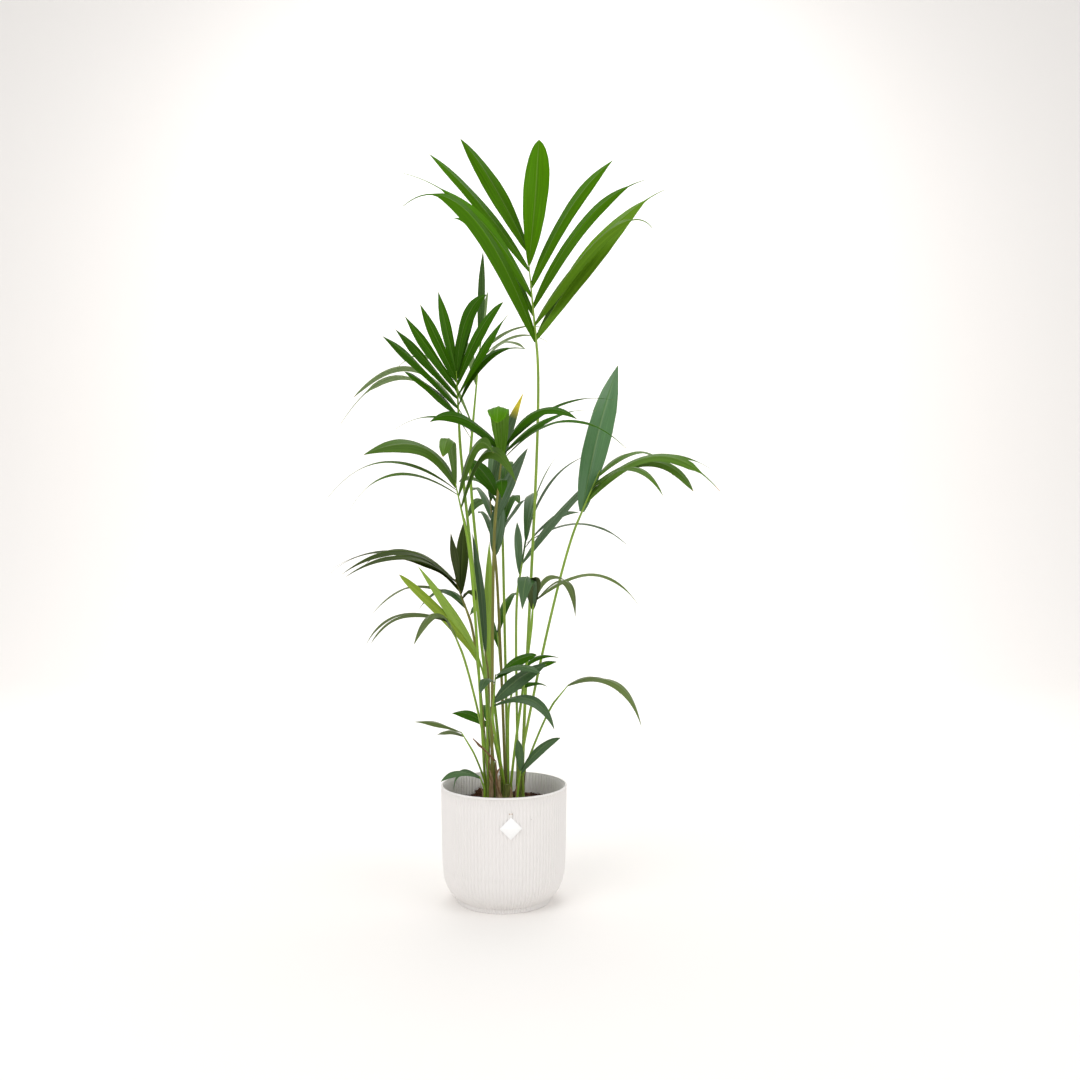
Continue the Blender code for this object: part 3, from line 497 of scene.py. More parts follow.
def placed(name, data):
    """A new object of this data, in the scene."""
    made = bpy.data.objects.new(name, data)
    bpy.context.scene.collection.objects.link(made)
    return made


def new_mesh(name, points, edges=(), faces=()):
    mesh = bpy.data.meshes.new(name)
    mesh.from_pydata(points, edges, faces)
    return mesh


def write(mesh, label, kind, values):
    """Stores a value at each of a mesh's points."""
    attribute = mesh.attributes.new(label, kind, "POINT")
    attribute.data.foreach_set("vector" if kind == "FLOAT_VECTOR" else "value", values)


def mesh_object(name, points, faces, finish=None):
    mesh = new_mesh(name, points, faces=faces)
    if finish:
        mesh.materials.append(finish)
    return shown(name, mesh)


def shown(name, mesh, sharp=50.0):
    mesh.name = name
    mesh.shade_smooth()
    mesh.set_sharp_from_angle(angle=math.radians(sharp))
    return placed(name, mesh)


def new_tree(name, sockets):
    """A Geometry Nodes tree with named inputs, then those inputs and the node where it ends."""
    tree = bpy.data.node_groups.new(name, "GeometryNodeTree")
    for label, kind in sockets:
        tree.interface.new_socket(label, in_out="INPUT", socket_type=kind)
    tree.interface.new_socket("Geometry", in_out="OUTPUT", socket_type="NodeSocketGeometry")
    return tree, add(tree, "NodeGroupInput").outputs, add(tree, "NodeGroupOutput")


def grown(name, source, tree, inputs, sharp=50.0):
    """A plain object of what a tree makes from a source object, which is used up."""
    modifier = source.modifiers.new("grow", "NODES")
    modifier.node_group = tree
    for item in tree.interface.items_tree:
        if item.in_out == "INPUT" and item.name in inputs:
            modifier[item.identifier] = inputs[item.name]
    graph = bpy.context.evaluated_depsgraph_get()
    mesh = bpy.data.meshes.new_from_object(
        source.evaluated_get(graph), preserve_all_data_layers=True, depsgraph=graph)
    source.modifiers.remove(modifier)
    bpy.data.objects.remove(source)
    if not mesh.polygons:
        raise RuntimeError(f"the tree {tree.name} made nothing for {name}")
    return shown(name, mesh, sharp)


def dress(piece, nodes=()):
    """Declares a finished piece: hides the solids that it stands for, and attaches it to its body."""
    if nodes:
        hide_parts(*nodes)
    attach(piece, "root")


def dulled(colour, share):
    """A colour with this share of its light."""
    return (*[part * share for part in colour[:3]], 1.0)


def moulded_polypropylene(name, colour):
    """White polypropylene from a polished mould: satin, faintly uneven, with a fine grain."""
    made, tree, shader = surface(name, 0.5)
    place = add(tree, "ShaderNodeTexCoord").outputs["Object"]
    # Handling marks are about 40 mm across
    clouds = add(tree, "ShaderNodeTexNoise", {"Vector": place, "Scale": 1 / (40 * MM), "Detail": 4.0})
    tinted = add(tree, "ShaderNodeMix", {0: clouds, 6: colour, 7: dulled(colour, 0.97)}, data_type="RGBA")
    rough = add(tree, "ShaderNodeMapRange", {0: clouds, 3: 0.46, 4: 0.58})
    # The mould's grain is 0.1 mm in life, and is drawn at 0.8 mm so that it shows
    grain = add(tree, "ShaderNodeTexNoise", {"Vector": place, "Scale": 1 / (0.8 * MM), "Detail": 2.0})
    bump = add(tree, "ShaderNodeBump", {"Strength": 0.02, "Distance": 0.2 * MM, "Height": grain})
    join(shader, {"Base Color": tinted, "Roughness": rough, "Normal": bump})
    return made


def crumbled(name, dark, warm, light, grain):
    """Peat, bark or coir: dull and broken, in shades that change from grain to grain (mm)."""
    made, tree, shader = surface(name, 0.92, 0.2)
    place = add(tree, "ShaderNodeTexCoord").outputs["Object"]
    lumps = add(tree, "ShaderNodeTexNoise", {
        "Vector": place, "Scale": 1 / (grain * MM), "Detail": 6.0, "Roughness": 0.65})
    mixed = add(tree, "ShaderNodeMapRange", {0: lumps, 1: 0.38, 2: 0.62})
    base = add(tree, "ShaderNodeMix", {0: mixed, 6: linear(dark), 7: linear(warm)}, data_type="RGBA")
    tone = add(tree, "ShaderNodeAttribute", attribute_name="tone").outputs["Fac"]
    pale = add(tree, "ShaderNodeMapRange", {0: tone, 1: 0.72, 2: 1.0})
    shaded = add(tree, "ShaderNodeMix", {0: pale, 6: base, 7: linear(light)}, data_type="RGBA")
    bump = add(tree, "ShaderNodeBump", {"Strength": 0.8, "Distance": grain * MM / 3, "Height": lumps})
    join(shader, {"Base Color": shaded, "Normal": bump})
    return made


def coated_card(name, colour):
    """White coated card, and the plastic that holds it: smooth, with faint flecks about 3 mm long."""
    made, tree, shader = surface(name, 0.38)
    place = add(tree, "ShaderNodeTexCoord").outputs["Object"]
    fibres = add(tree, "ShaderNodeTexNoise", {"Vector": place, "Scale": 330.0, "Detail": 5.0})
    tinted = add(tree, "ShaderNodeMix", {0: fibres, 6: colour, 7: dulled(colour, 0.98)}, data_type="RGBA")
    bump = add(tree, "ShaderNodeBump", {"Strength": 0.1, "Distance": 0.1 * MM, "Height": fibres})
    join(shader, {"Base Color": tinted, "Normal": bump})
    return made


def fibrous_sheath(name, pale, dark):
    """A dry leaf sheath: papery brown skin with coarse upright fibres, about 1.5 mm apart."""
    made, tree, shader = surface(name, 0.8, 0.3)
    place = add(tree, "ShaderNodeTexCoord").outputs["Object"]
    upright = add(tree, "ShaderNodeMapping", {"Vector": place, "Scale": (1.0, 1.0, 0.08)})
    fibres = add(tree, "ShaderNodeTexNoise", {
        "Vector": upright, "Scale": 650.0, "Detail": 4.0, "Roughness": 0.7})
    sharp = add(tree, "ShaderNodeMapRange", {0: fibres, 1: 0.35, 2: 0.65})
    tinted = add(tree, "ShaderNodeMix", {0: sharp, 6: linear(dark), 7: linear(pale)}, data_type="RGBA")
    bump = add(tree, "ShaderNodeBump", {"Strength": 0.7, "Distance": 0.6 * MM, "Height": sharp})
    join(shader, {"Base Color": tinted, "Normal": bump})
    return made


def streaked(tree, stretch, detail, roughness, low, high):
    """A strand's places across and along it, its tone, and streaks that run along it."""
    place = add(tree, "ShaderNodeSeparateXYZ", {0: add(tree, "ShaderNodeUVMap", uv_map="UVMap")})
    across, along = place.outputs[0], place.outputs[1]
    tone = add(tree, "ShaderNodeAttribute", attribute_name="tone").outputs["Fac"]
    drawn = add(tree, "ShaderNodeCombineXYZ", {0: across, 1: along, 2: tone})
    stretched = add(tree, "ShaderNodeVectorMath", {0: drawn, 1: stretch}, operation="MULTIPLY")
    uneven = add(tree, "ShaderNodeTexNoise", {
        "Vector": stretched, "Scale": 1.0, "Detail": detail, "Roughness": roughness})
    return across, along, tone, add(tree, "ShaderNodeMapRange", {0: uneven, 1: low, 2: high})


def stalk_skin(name, skin, streak):
    """A living stalk: smooth waxy skin with lengthwise streaks, brown and scurfy at the foot."""
    made, tree, shader = surface(name, 0.42)
    _, along, _, streaks = streaked(tree, (9.0, 14.0, 40.0), 4.0, 0.6, 0.35, 0.65)
    green = add(tree, "ShaderNodeMix", {0: streaks, 6: linear(streak), 7: linear(skin)}, data_type="RGBA")
    place = add(tree, "ShaderNodeTexCoord").outputs["Object"]
    # Scurf is in flecks of about 2 mm
    flecks = add(tree, "ShaderNodeTexNoise", {"Vector": place, "Scale": 1 / (2 * MM), "Detail": 3.0})
    low = add(tree, "ShaderNodeMapRange", {0: along, 1: 0.03, 2: 0.16, 3: 0.62, 4: 0.0})
    fleck = add(tree, "ShaderNodeMath", {0: flecks, 1: low}, operation="MULTIPLY")
    scurfy = add(tree, "ShaderNodeMix", {0: fleck, 6: green, 7: linear("5e4a30")}, data_type="RGBA")
    bump = add(tree, "ShaderNodeBump", {"Strength": 0.35, "Distance": 0.3 * MM, "Height": streaks})
    join(shader, {"Base Color": scurfy, "Normal": bump})
    return made


def leaf_skin(name, blade, streak, roughness, specular, tip, tip_start):
    """One side of a palm leaflet: satin skin, fine veins along it, a paler midrib, a drier tip."""
    made, tree, shader = surface(name, roughness, specular)
    # Veins lie about 1 mm apart on a leaflet 25 mm wide, and run its whole length
    across, along, tone, veins = streaked(tree, (22.0, 1.6, 50.0), 3.0, 0.65, 0.3, 0.7)
    veined = add(tree, "ShaderNodeMix", {0: veins, 6: linear(streak), 7: linear(blade)}, data_type="RGBA")
    root = add(tree, "ShaderNodeMapRange", {0: along, 1: 0.0, 2: 0.4, 3: 0.7, 4: 0.0})
    rooted = add(tree, "ShaderNodeMix", {0: root, 6: veined, 7: linear(streak)}, data_type="RGBA")
    aside = add(tree, "ShaderNodeMath", {0: across, 1: 0.5}, operation="SUBTRACT")
    apart = add(tree, "ShaderNodeMath", {0: aside}, operation="ABSOLUTE")
    middle = add(tree, "ShaderNodeMapRange", {0: apart, 1: 0.01, 2: 0.03, 3: 0.22, 4: 0.0})
    ribbed = add(tree, "ShaderNodeMix", {0: middle, 6: rooted, 7: linear("8fa35a")}, data_type="RGBA")
    end = add(tree, "ShaderNodeMapRange", {0: along, 1: tip_start, 2: (1 + tip_start) / 2, 3: 0.0, 4: 0.92})
    tipped = add(tree, "ShaderNodeMix", {0: end, 6: ribbed, 7: linear(tip)}, data_type="RGBA")
    bright = add(tree, "ShaderNodeMapRange", {0: tone, 3: 0.82, 4: 1.18})
    toned = add(tree, "ShaderNodeHueSaturation", {"Value": bright, "Color": tipped})
    bump = add(tree, "ShaderNodeBump", {"Strength": 0.25, "Distance": 0.4 * MM, "Height": veins})
    join(shader, {"Base Color": toned, "Normal": bump})
    return made


def studio_paper(name, colour):
    """Seamless backdrop paper: matt, with a tooth of about 1 mm."""
    made, tree, shader = surface(name, 0.9, 0.2)
    place = add(tree, "ShaderNodeTexCoord").outputs["Object"]
    tooth = add(tree, "ShaderNodeTexNoise", {"Vector": place, "Scale": 1 / MM})
    bump = add(tree, "ShaderNodeBump", {"Strength": 0.05, "Distance": 0.2 * MM, "Height": tooth})
    join(shader, {"Base Color": colour, "Normal": bump})
    return made


def outer_radius(height):
    """The pot's outside radius at a height, in mm."""
    if height >= CORNER_TOP:
        share = (height - CORNER_TOP) / (POT_HEIGHT - CORNER_TOP)
        return WAIST_RADIUS + (RIM_RADIUS - BAND_PROUD - WAIST_RADIUS) * math.sqrt(share)
    down = (CORNER_TOP - height) / CORNER_DROP
    return WAIST_RADIUS - CORNER_ACROSS * (1 - math.sqrt(1 - down * down))


def inner_radius(height):
    return outer_radius(max(height - WALL, FOOT_HEIGHT)) - WALL


def wall_heights():
    """Heights of the wall's edges from the foot up, closer together where it curves more."""
    steepest = math.asin((CORNER_TOP - FOOT_HEIGHT) / CORNER_DROP)
    turns = [steepest * (1 - step / CORNER_STEPS) for step in range(CORNER_STEPS)]
    corner = [CORNER_TOP - CORNER_DROP * math.sin(turn) for turn in turns]
    rise = POT_HEIGHT - RIM_BAND - CORNER_TOP
    return corner + [CORNER_TOP + rise * (step / DRUM_STEPS) ** 2 for step in range(DRUM_STEPS + 1)]


def soil_height(radius):
    """The soil's top at a distance from the pot's axis, all in mm."""
    if radius <= SOIL_FLAT_RADIUS:
        return SOIL_TOP + SOIL_CROWN
    fall = (radius - SOIL_FLAT_RADIUS) / (inner_radius(SOIL_TOP) - SOIL_FLAT_RADIUS)
    return SOIL_TOP + SOIL_CROWN * (1 - fall)


def pot_profile():
    """(radius, height, share of the ribs' relief) from the underside's middle, up the outside, over
    the rim and down the inside, in mm."""
    foot = [(0, 0, 0), (FOOT_RADIUS - 2.2, 0, 0), (FOOT_RADIUS - 0.4, 0.4, 0.4), (FOOT_RADIUS, 1.4, 0.8),
            (FOOT_RADIUS, FOOT_HEIGHT * 0.6, 1), (FOOT_RADIUS, FOOT_HEIGHT, 1)]
    heights = wall_heights()
    outside = [(outer_radius(height), height, 1) for height in heights]
    under_band = POT_HEIGHT - RIM_BAND
    band = [(RIM_RADIUS - 0.5, under_band + 0.15, 0), (RIM_RADIUS - 0.12, under_band + 0.3, 0),
            (RIM_RADIUS, under_band + 0.6, 0), (RIM_RADIUS, POT_HEIGHT - 0.7, 0),
            (RIM_RADIUS - 0.2, POT_HEIGHT - 0.2, 0), (RIM_RADIUS - 0.7, POT_HEIGHT, 0)]
    lip = inner_radius(POT_HEIGHT)
    inside_lip = [(lip + 0.6, POT_HEIGHT, 0), (lip + 0.15, POT_HEIGHT - 0.2, 0),
                  (lip, POT_HEIGHT - 0.7, 0), (lip, POT_HEIGHT - 2.6, 0)]
    inside = [(inner_radius(height), height, 1) for height in reversed(heights) if height > FLOOR + WALL]
    return foot + outside + band + inside_lip + inside + [(inside[-1][0] - 4, FLOOR, 0), (0, FLOOR, 0)]


def rib_slice(count, relief):
    """One rib of the pot, from groove to groove, as a mesh that repeats round the axis."""
    columns = [math.sin(math.pi * (column / RIB_COLUMNS - 0.5)) for column in range(RIB_COLUMNS + 1)]
    profile = pot_profile()
    points = []
    for radius, height, share in profile:
        for column in columns:
            turn = column * math.pi / count
            here = max(radius - relief * share * abs(column) ** RIB_ROUNDING, 0)
            points.append(Vector((here * math.cos(turn), here * math.sin(turn), height)) * MM)
    faces = []
    across = len(columns)
    for level in range(len(profile) - 1):
        for column in range(RIB_COLUMNS):
            here = level * across + column
            above = here + across
            if level == 0:
                faces.append((here, above + 1, above))
            elif level == len(profile) - 2:
                faces.append((here, here + 1, above))
            else:
                faces.append((here, here + 1, above + 1, above))
    return mesh_object("rib_slice", points, faces)


def ring_tree():
    """Copies of a slice turned evenly about Z and merged into one shell."""
    tree, entry, leave = new_tree("ring_of_slices", (
        ("Slice", "NodeSocketGeometry"), ("Count", "NodeSocketInt"), ("Merge Distance", "NodeSocketFloat"),
        ("Finish", "NodeSocketMaterial")))
    spots = add(tree, "GeometryNodePoints", {"Count": entry["Count"]})
    number = add(tree, "GeometryNodeInputIndex")
    step = add(tree, "ShaderNodeMath", {0: math.tau, 1: entry["Count"]}, operation="DIVIDE")
    turn = add(tree, "ShaderNodeMath", {0: number, 1: step}, operation="MULTIPLY")
    about = add(tree, "ShaderNodeCombineXYZ", {2: turn})
    ring = add(tree, "GeometryNodeInstanceOnPoints", {
        "Points": spots, "Instance": entry["Slice"], "Rotation": about})
    real = add(tree, "GeometryNodeRealizeInstances", {0: ring})
    merged = add(tree, "GeometryNodeMergeByDistance", {0: real, "Distance": entry["Merge Distance"]})
    join(leave, {0: add(tree, "GeometryNodeSetMaterial", {0: merged, "Material": entry["Finish"]})})
    return tree


def scatter_tree():
    """Small things strewn over the faces of a ground where its point attribute strewn is 1."""
    tree, entry, leave = new_tree("scatter", (
        ("Ground", "NodeSocketGeometry"), ("Kinds", "NodeSocketCollection"), ("Spacing", "NodeSocketFloat"),
        ("Least Size", "NodeSocketFloat"), ("Greatest Size", "NodeSocketFloat"),
        ("Lean", "NodeSocketFloat"), ("Seed", "NodeSocketInt"), ("Finish", "NodeSocketMaterial")))
    strewn = add(tree, "GeometryNodeInputNamedAttribute", {"Name": "strewn"}, data_type="FLOAT")
    spots = add(tree, "GeometryNodeDistributePointsOnFaces", {
        "Mesh": entry["Ground"], "Distance Min": entry["Spacing"], "Density Max": 1e6,
        "Density Factor": strewn, "Seed": entry["Seed"]}, distribute_method="POISSON")
    kinds = add(tree, "GeometryNodeCollectionInfo", {
        "Collection": entry["Kinds"], "Separate Children": True, "Reset Children": True})
    less = add(tree, "ShaderNodeMath", {0: entry["Lean"], 1: -1.0}, operation="MULTIPLY")
    low = add(tree, "ShaderNodeCombineXYZ", {0: less, 1: less})
    high = add(tree, "ShaderNodeCombineXYZ", {0: entry["Lean"], 1: entry["Lean"], 2: math.tau})
    turn = add(tree, "FunctionNodeRandomValue", {0: low, 1: high, "Seed": entry["Seed"]},
               data_type="FLOAT_VECTOR")
    size = add(tree, "FunctionNodeRandomValue", {
        2: entry["Least Size"], 3: entry["Greatest Size"], "Seed": entry["Seed"]}, data_type="FLOAT")
    strewed = add(tree, "GeometryNodeInstanceOnPoints", {
        "Points": spots, "Instance": kinds, "Pick Instance": True, "Rotation": turn, "Scale": size})
    tone = add(tree, "FunctionNodeRandomValue", {"Seed": 7}, data_type="FLOAT")
    toned = add(tree, "GeometryNodeStoreNamedAttribute", {0: strewed, "Name": "tone", "Value": tone},
                data_type="FLOAT", domain="INSTANCE")
    real = add(tree, "GeometryNodeRealizeInstances", {0: toned})
    join(leave, {0: add(tree, "GeometryNodeSetMaterial", {0: real, "Material": entry["Finish"]})})
    return tree


def sweep_tree():
    """A closed outline swept along every strand of a mesh of edges. A strand's points hold facing,
    the way that the outline's X axis points, and breadth, the outline's scale."""
    tree, entry, leave = new_tree("sweep", (
        ("Strands", "NodeSocketGeometry"), ("Profile", "NodeSocketObject"),
        ("Upper Finish", "NodeSocketMaterial"), ("Under Finish", "NodeSocketMaterial")))
    facing, breadth, across, along, under = (
        add(tree, "GeometryNodeInputNamedAttribute", {"Name": label}, data_type=kind)
        for label, kind in (("facing", "FLOAT_VECTOR"), ("breadth", "FLOAT"), ("across", "FLOAT"),
                            ("along", "FLOAT"), ("under", "BOOLEAN")))
    info = add(tree, "GeometryNodeObjectInfo", {"Object": entry["Profile"]})
    outline = add(tree, "GeometryNodeMeshToCurve", {"Mesh": info.outputs["Geometry"]})
    strands = add(tree, "GeometryNodeMeshToCurve", {"Mesh": entry["Strands"]})
    turned = add(tree, "GeometryNodeSetCurveNormal", {"Curve": strands, "Normal": facing}, mode="FREE")
    swept = add(tree, "GeometryNodeCurveToMesh", {
        "Curve": turned, "Profile Curve": outline, "Scale": breadth, "Fill Caps": True})
    place = add(tree, "ShaderNodeCombineXYZ", {0: across, 1: along})
    mapped = add(tree, "GeometryNodeStoreNamedAttribute", {0: swept, "Name": "UVMap", "Value": place},
                 data_type="FLOAT2", domain="CORNER")
    real = add(tree, "GeometryNodeRealizeInstances", {0: mapped})
    upper = add(tree, "GeometryNodeSetMaterial", {0: real, "Material": entry["Upper Finish"]})
    join(leave, {0: add(tree, "GeometryNodeSetMaterial", {
        0: upper, "Selection": under, "Material": entry["Under Finish"]})})
    return tree


def profile_object(name, points, under=()):
    """A closed outline of (out of the face, across from -1 to 1) pairs, and which are underneath."""
    count = len(points)
    mesh = new_mesh(name, [(out, side, 0) for out, side in points],
                    [(number, (number + 1) % count) for number in range(count)])
    write(mesh, "across", "FLOAT", [(side + 1) / 2 for _, side in points])
    write(mesh, "under", "BOOLEAN", under or [False] * count)
    return placed(name, mesh)


def strand_object(name, strands):
    """Edges along strands, each a list of (point, facing, breadth, along, tone)."""
    edges = []
    start = 0
    for strand in strands:
        edges += [(start + number, start + number + 1) for number in range(len(strand) - 1)]
        start += len(strand)
    points, facing, *scalars = zip(*[sample for strand in strands for sample in strand])
    mesh = new_mesh(name, points, edges)
    write(mesh, "facing", "FLOAT_VECTOR", [part for way in facing for part in way])
    for label, values in zip(("breadth", "along", "tone"), scalars):
        write(mesh, label, "FLOAT", values)
    return placed(name, mesh)


def swept(name, strands, section, upper, under):
    """A section swept along strands, with a finish for its upper side and one for its underside."""
    tree = bpy.data.node_groups.get("sweep") or sweep_tree()
    return grown(name, strand_object(name + "_strands", strands), tree, {
        "Profile": section, "Upper Finish": upper, "Under Finish": under})


def leaf_profile(fold, thickness):
    """A leaflet's section: folded along the midrib, with a pleat each side, and thin."""
    sides = (-1.0, -0.78, -0.52, -0.26, -0.05, 0.0, 0.05, 0.26, 0.52, 0.78, 1.0)

    def top(side):
        pleat = LEAF_PLEAT * math.cos(4 * math.pi * abs(side))
        rib = LEAF_MIDRIB if side == 0 else 0.0
        return fold * (0.5 - abs(side)) - LEAF_HOLLOW * side * side + pleat + rib

    upper = [(top(side), side) for side in sides]
    lower = [(top(side) - thickness, side) for side in reversed(sides[1:-1])]
    under = [index in (0, len(sides) - 1) or index >= len(sides) for index in range(len(upper + lower))]
    return profile_object("leaf_section", upper + lower, under)


def stalk_profile(channel):
    """A stalk's section: round, with a shallow channel on the side that faces the stem's middle."""
    count = 12
    points = []
    for number in range(count):
        turn = math.tau * number / count - math.pi / 2
        shallow = 1 - channel * max(math.cos(turn), 0) ** 3
        points.append((math.cos(turn) * shallow, math.sin(turn)))
    return profile_object("stalk_section", points)


def sheath_profile(wrap, thickness):
    """A dry sheath's section: a thin curved strip that wraps round what it grew on."""
    sides = (-1.0, -0.6, -0.2, 0.2, 0.6, 1.0)
    upper = [(-wrap * side * side, side) for side in sides]
    lower = [(-wrap * side * side - thickness, side) for side in reversed(sides)]
    return profile_object("sheath_section", upper + lower)


def seen(across, up, deep):
    """The point at this depth that looks to be at (across, up) in the plane of the pot's axis."""
    scale = (VIEW_BACK + deep) / VIEW_BACK
    x = VIEW_ACROSS + (across - VIEW_ACROSS) * scale
    z = VIEW_UP + (up - VIEW_UP) * scale
    return Vector((x, deep, z)) * CM


def bezier(points, t):
    """A point of the Bezier curve with these control points."""
    while len(points) > 1:
        points = [a.lerp(b, t) for a, b in zip(points, points[1:])]
    return points[0]


def tangent(points, t):
    steps = [b - a for a, b in zip(points, points[1:])]
    return bezier(steps, t).normalized()


def seat_of(frond):
    """Where a frond's stalk stands, on its stem's flat top or on the soil."""
    if isinstance(frond.stem, tuple):
        across, deep = frond.stem
        return Vector((across * CM, deep * CM, soil_height(0) * MM + GAP))
    across, deep, top = STEMS[frond.stem]
    turn = math.radians(frond.seat)
    ring = Vector((math.cos(turn), math.sin(turn), 0)) * SEAT_RING
    return Vector((across + ring.x, deep + ring.y, top)) * CM + Vector((0, 0, GAP))


def rib_curve(frond):
    """The rib, straight from the stalk's top to its own tip."""
    return [seen(*frond.base), seen(*frond.tip)]


def stalk_curve(frond):
    """From the seat, rising almost straight, to the base, in line with the rib."""
    seat, base = seat_of(frond), seen(*frond.base)
    reach = (base - seat).length
    rise = ((base - seat).normalized() + Vector((0, 0, STALK_UPRIGHT))).normalized()
    onward = tangent(rib_curve(frond), 0)
    return [seat, seat + rise * reach * STALK_FROM_FOOT, base - onward * reach * STALK_IN_LINE, base]


def leaf_curve(frond, spec):
    """A leaflet's middle line, in the upright plane through its root and its tip."""
    place, across, up, deep, _, bow, centred = spec
    rib = rib_curve(frond)
    length = (rib[-1] - rib[0]).length
    neck = RIB_NECK * CM / length
    root = bezier(rib, neck + (1 - neck) * place * LAST_LEAF)
    tip = seen(across, up, deep)
    chord = tip - root
    along = chord.normalized()
    rise = Vector((0, 0, 1)) - along * along.z
    return [root, root + chord * centred + rise.normalized() * 2 * bow * CM, tip]


def flat_facing(curve, t):
    """Where a leaflet's upper side faces if it bends without a roll."""
    across = (curve[-1] - curve[0]).cross(Vector((0, 0, 1))).normalized()
    return across.cross(tangent(curve, t))


def roll_of(curve, face):
    """The turn about its length that makes a leaflet's middle face as near to this as it can."""
    way, flat = tangent(curve, LEAF_MIDDLE), flat_facing(curve, LEAF_MIDDLE)
    wanted = face - way * face.dot(way)
    return math.atan2(flat.cross(wanted).dot(way), flat.dot(wanted))


def share_at(frond, number, t):
    """The share of a leaflet's full width at a place along it."""
    outline = OUTLINES[LEAF_OUTLINES.get((frond.name, number), "tapered")]
    start = THREADS.get((frond.name, number), 1.0)
    thread = THREAD_WIDTH / frond.leaflets[number][4]
    if t > start:
        return thread * (1 - THREAD_TAPER * (t - start) / (1 - start))
    t /= start
    for (low, narrow), (high, wide) in zip(outline, outline[1:]):
        if t <= high:
            share = narrow + (wide - narrow) * (t - low) / (high - low)
            return max(share, thread) if start < 1 else share
    return outline[-1][1]


def leaf_strand(frond, number, steps, sway, chance):
    """Samples along one leaflet, with a slow wave in how it faces."""
    spec = frond.leaflets[number]
    curve = leaf_curve(frond, spec)
    roll = roll_of(curve, Vector(frond.face))
    if number in EDGE_ON.get(frond.name, ()):
        roll *= EDGE_ON_ROLL
    tone, phase = chance.random(), chance.random()
    samples = []
    for step in range(steps + 1):
        t = 1 - (1 - step / steps) ** LEAF_CROWDING
        wave = sway * math.sin(math.tau * (LEAF_WAVES * t + phase))
        facing = Quaternion(tangent(curve, t), roll + wave) @ flat_facing(curve, t)
        breadth = spec[4] * CM / 2 * share_at(frond, number, t)
        samples.append((bezier(curve, t), facing, breadth, t, tone))
    return samples


def stalk_strand(frond, chance):
    """Samples up a stalk and on along its rib. On a stem, the stalk's foot runs down to the soil."""
    curve, rib = stalk_curve(frond), rib_curve(frond)
    top = min(STALK_TOP_RADIUS, frond.foot_radius)
    tone = chance.random()
    inward = Vector((-curve[0].x, -curve[0].y, 0)).normalized()
    samples = []
    if not isinstance(frond.stem, tuple):
        across, deep, _ = STEMS[frond.stem]
        middle = Vector((across, deep, 0)) * CM
        out = curve[0] - middle
        out.z = 0
        ground = (soil_height(0) - STALK_SUNK) * MM
        for step in range(FOOT_STEPS):
            t = step / FOOT_STEPS
            low = middle + out * (1 + FOOT_SPREAD * (1 - t))
            low.z = ground + (curve[0].z - ground) * t
            radius = frond.foot_radius * (1 + FOOT_SWELL * (1 - t))
            samples.append((low, inward, radius * CM, FOOT_SHARE * t, tone))
    for step in range(STALK_STEPS + 1):
        t = step / STALK_STEPS
        radius = frond.foot_radius + (top - frond.foot_radius) * t
        samples.append((bezier(curve, t), inward, radius * CM, FOOT_SHARE + STALK_SHARE * t, tone))
    reached = FOOT_SHARE + STALK_SHARE
    for step in range(1, RIB_STEPS + 1):
        t = step / RIB_STEPS
        radius = top + (RIB_TIP_RADIUS - top) * t
        samples.append((bezier(rib, t), inward, radius * CM, reached + (1 - reached) * t, tone))
    return samples


def sheath_strand(spec, chance):
    """Samples up a dry strip of sheath that curls away at its tip."""
    across, deep, foot, tip, width, facing, lean = spec
    turn = math.radians(facing)
    out = Vector((math.cos(turn), math.sin(turn), 0))
    tone, phase = chance.random(), chance.random()
    samples = []
    for step in range(SHEATH_STEPS + 1):
        t = step / SHEATH_STEPS
        wander = 0.12 * math.sin(math.tau * (1.4 * t + phase))
        aside = out.cross(Vector((0, 0, 1))) * wander
        point = Vector((across, deep, foot + (tip - foot) * t)) + out * lean * t * t + aside
        breadth = width / 2 * (1 - 0.75 * t ** 1.6) * (1 + 0.18 * math.sin(17 * t + 9 * phase))
        samples.append((point * CM, (out + aside * 2).normalized(), breadth * CM, t, tone))
    return samples


def curl_strand(spec, chance):
    """Samples along a withered curl, which narrows to its ends and twists."""
    *corners, width = spec
    curve = [seen(*corner) for corner in corners]
    tone, phase = chance.random(), chance.random()
    samples = []
    for step in range(CURL_STEPS + 1):
        t = step / CURL_STEPS
        face = Quaternion(tangent(curve, t), 1.8 * t + phase) @ Vector((0.3, -1.0, 0.2))
        breadth = width * CM / 2 * (0.2 + 0.8 * math.sin(math.pi * t ** 0.8)) * (1 + 0.2 * math.sin(19 * t))
        samples.append((bezier(curve, t), face.normalized(), breadth, t, tone))
    return samples


def circle(sides):
    """Directions evenly round Z, from +X towards +Y."""
    turns = [math.tau * side / sides for side in range(sides)]
    return [Vector((math.cos(turn), math.sin(turn), 0)) for turn in turns]


def ring_faces(rings, sides, start=0, down=False):
    """Quads between rings of points that run from +X towards +Y, each ring above the last or below it."""
    faces = []
    for ring in range(rings - 1):
        for side in range(sides):
            here, beside = start + ring * sides + side, start + ring * sides + (side + 1) % sides
            faces.append((here, beside, beside + sides, here + sides))
    return [(a, d, c, b) for a, b, c, d in faces] if down else faces


def capped_faces(rings, sides, down=False):
    """The faces of a closed body whose first and last rings are flat ends."""
    last = (rings - 1) * sides
    ends = [tuple(reversed(range(sides))), tuple(range(last, last + sides))]
    return ring_faces(rings, sides, 0, down) + [end[::-1] if down else end for end in ends]


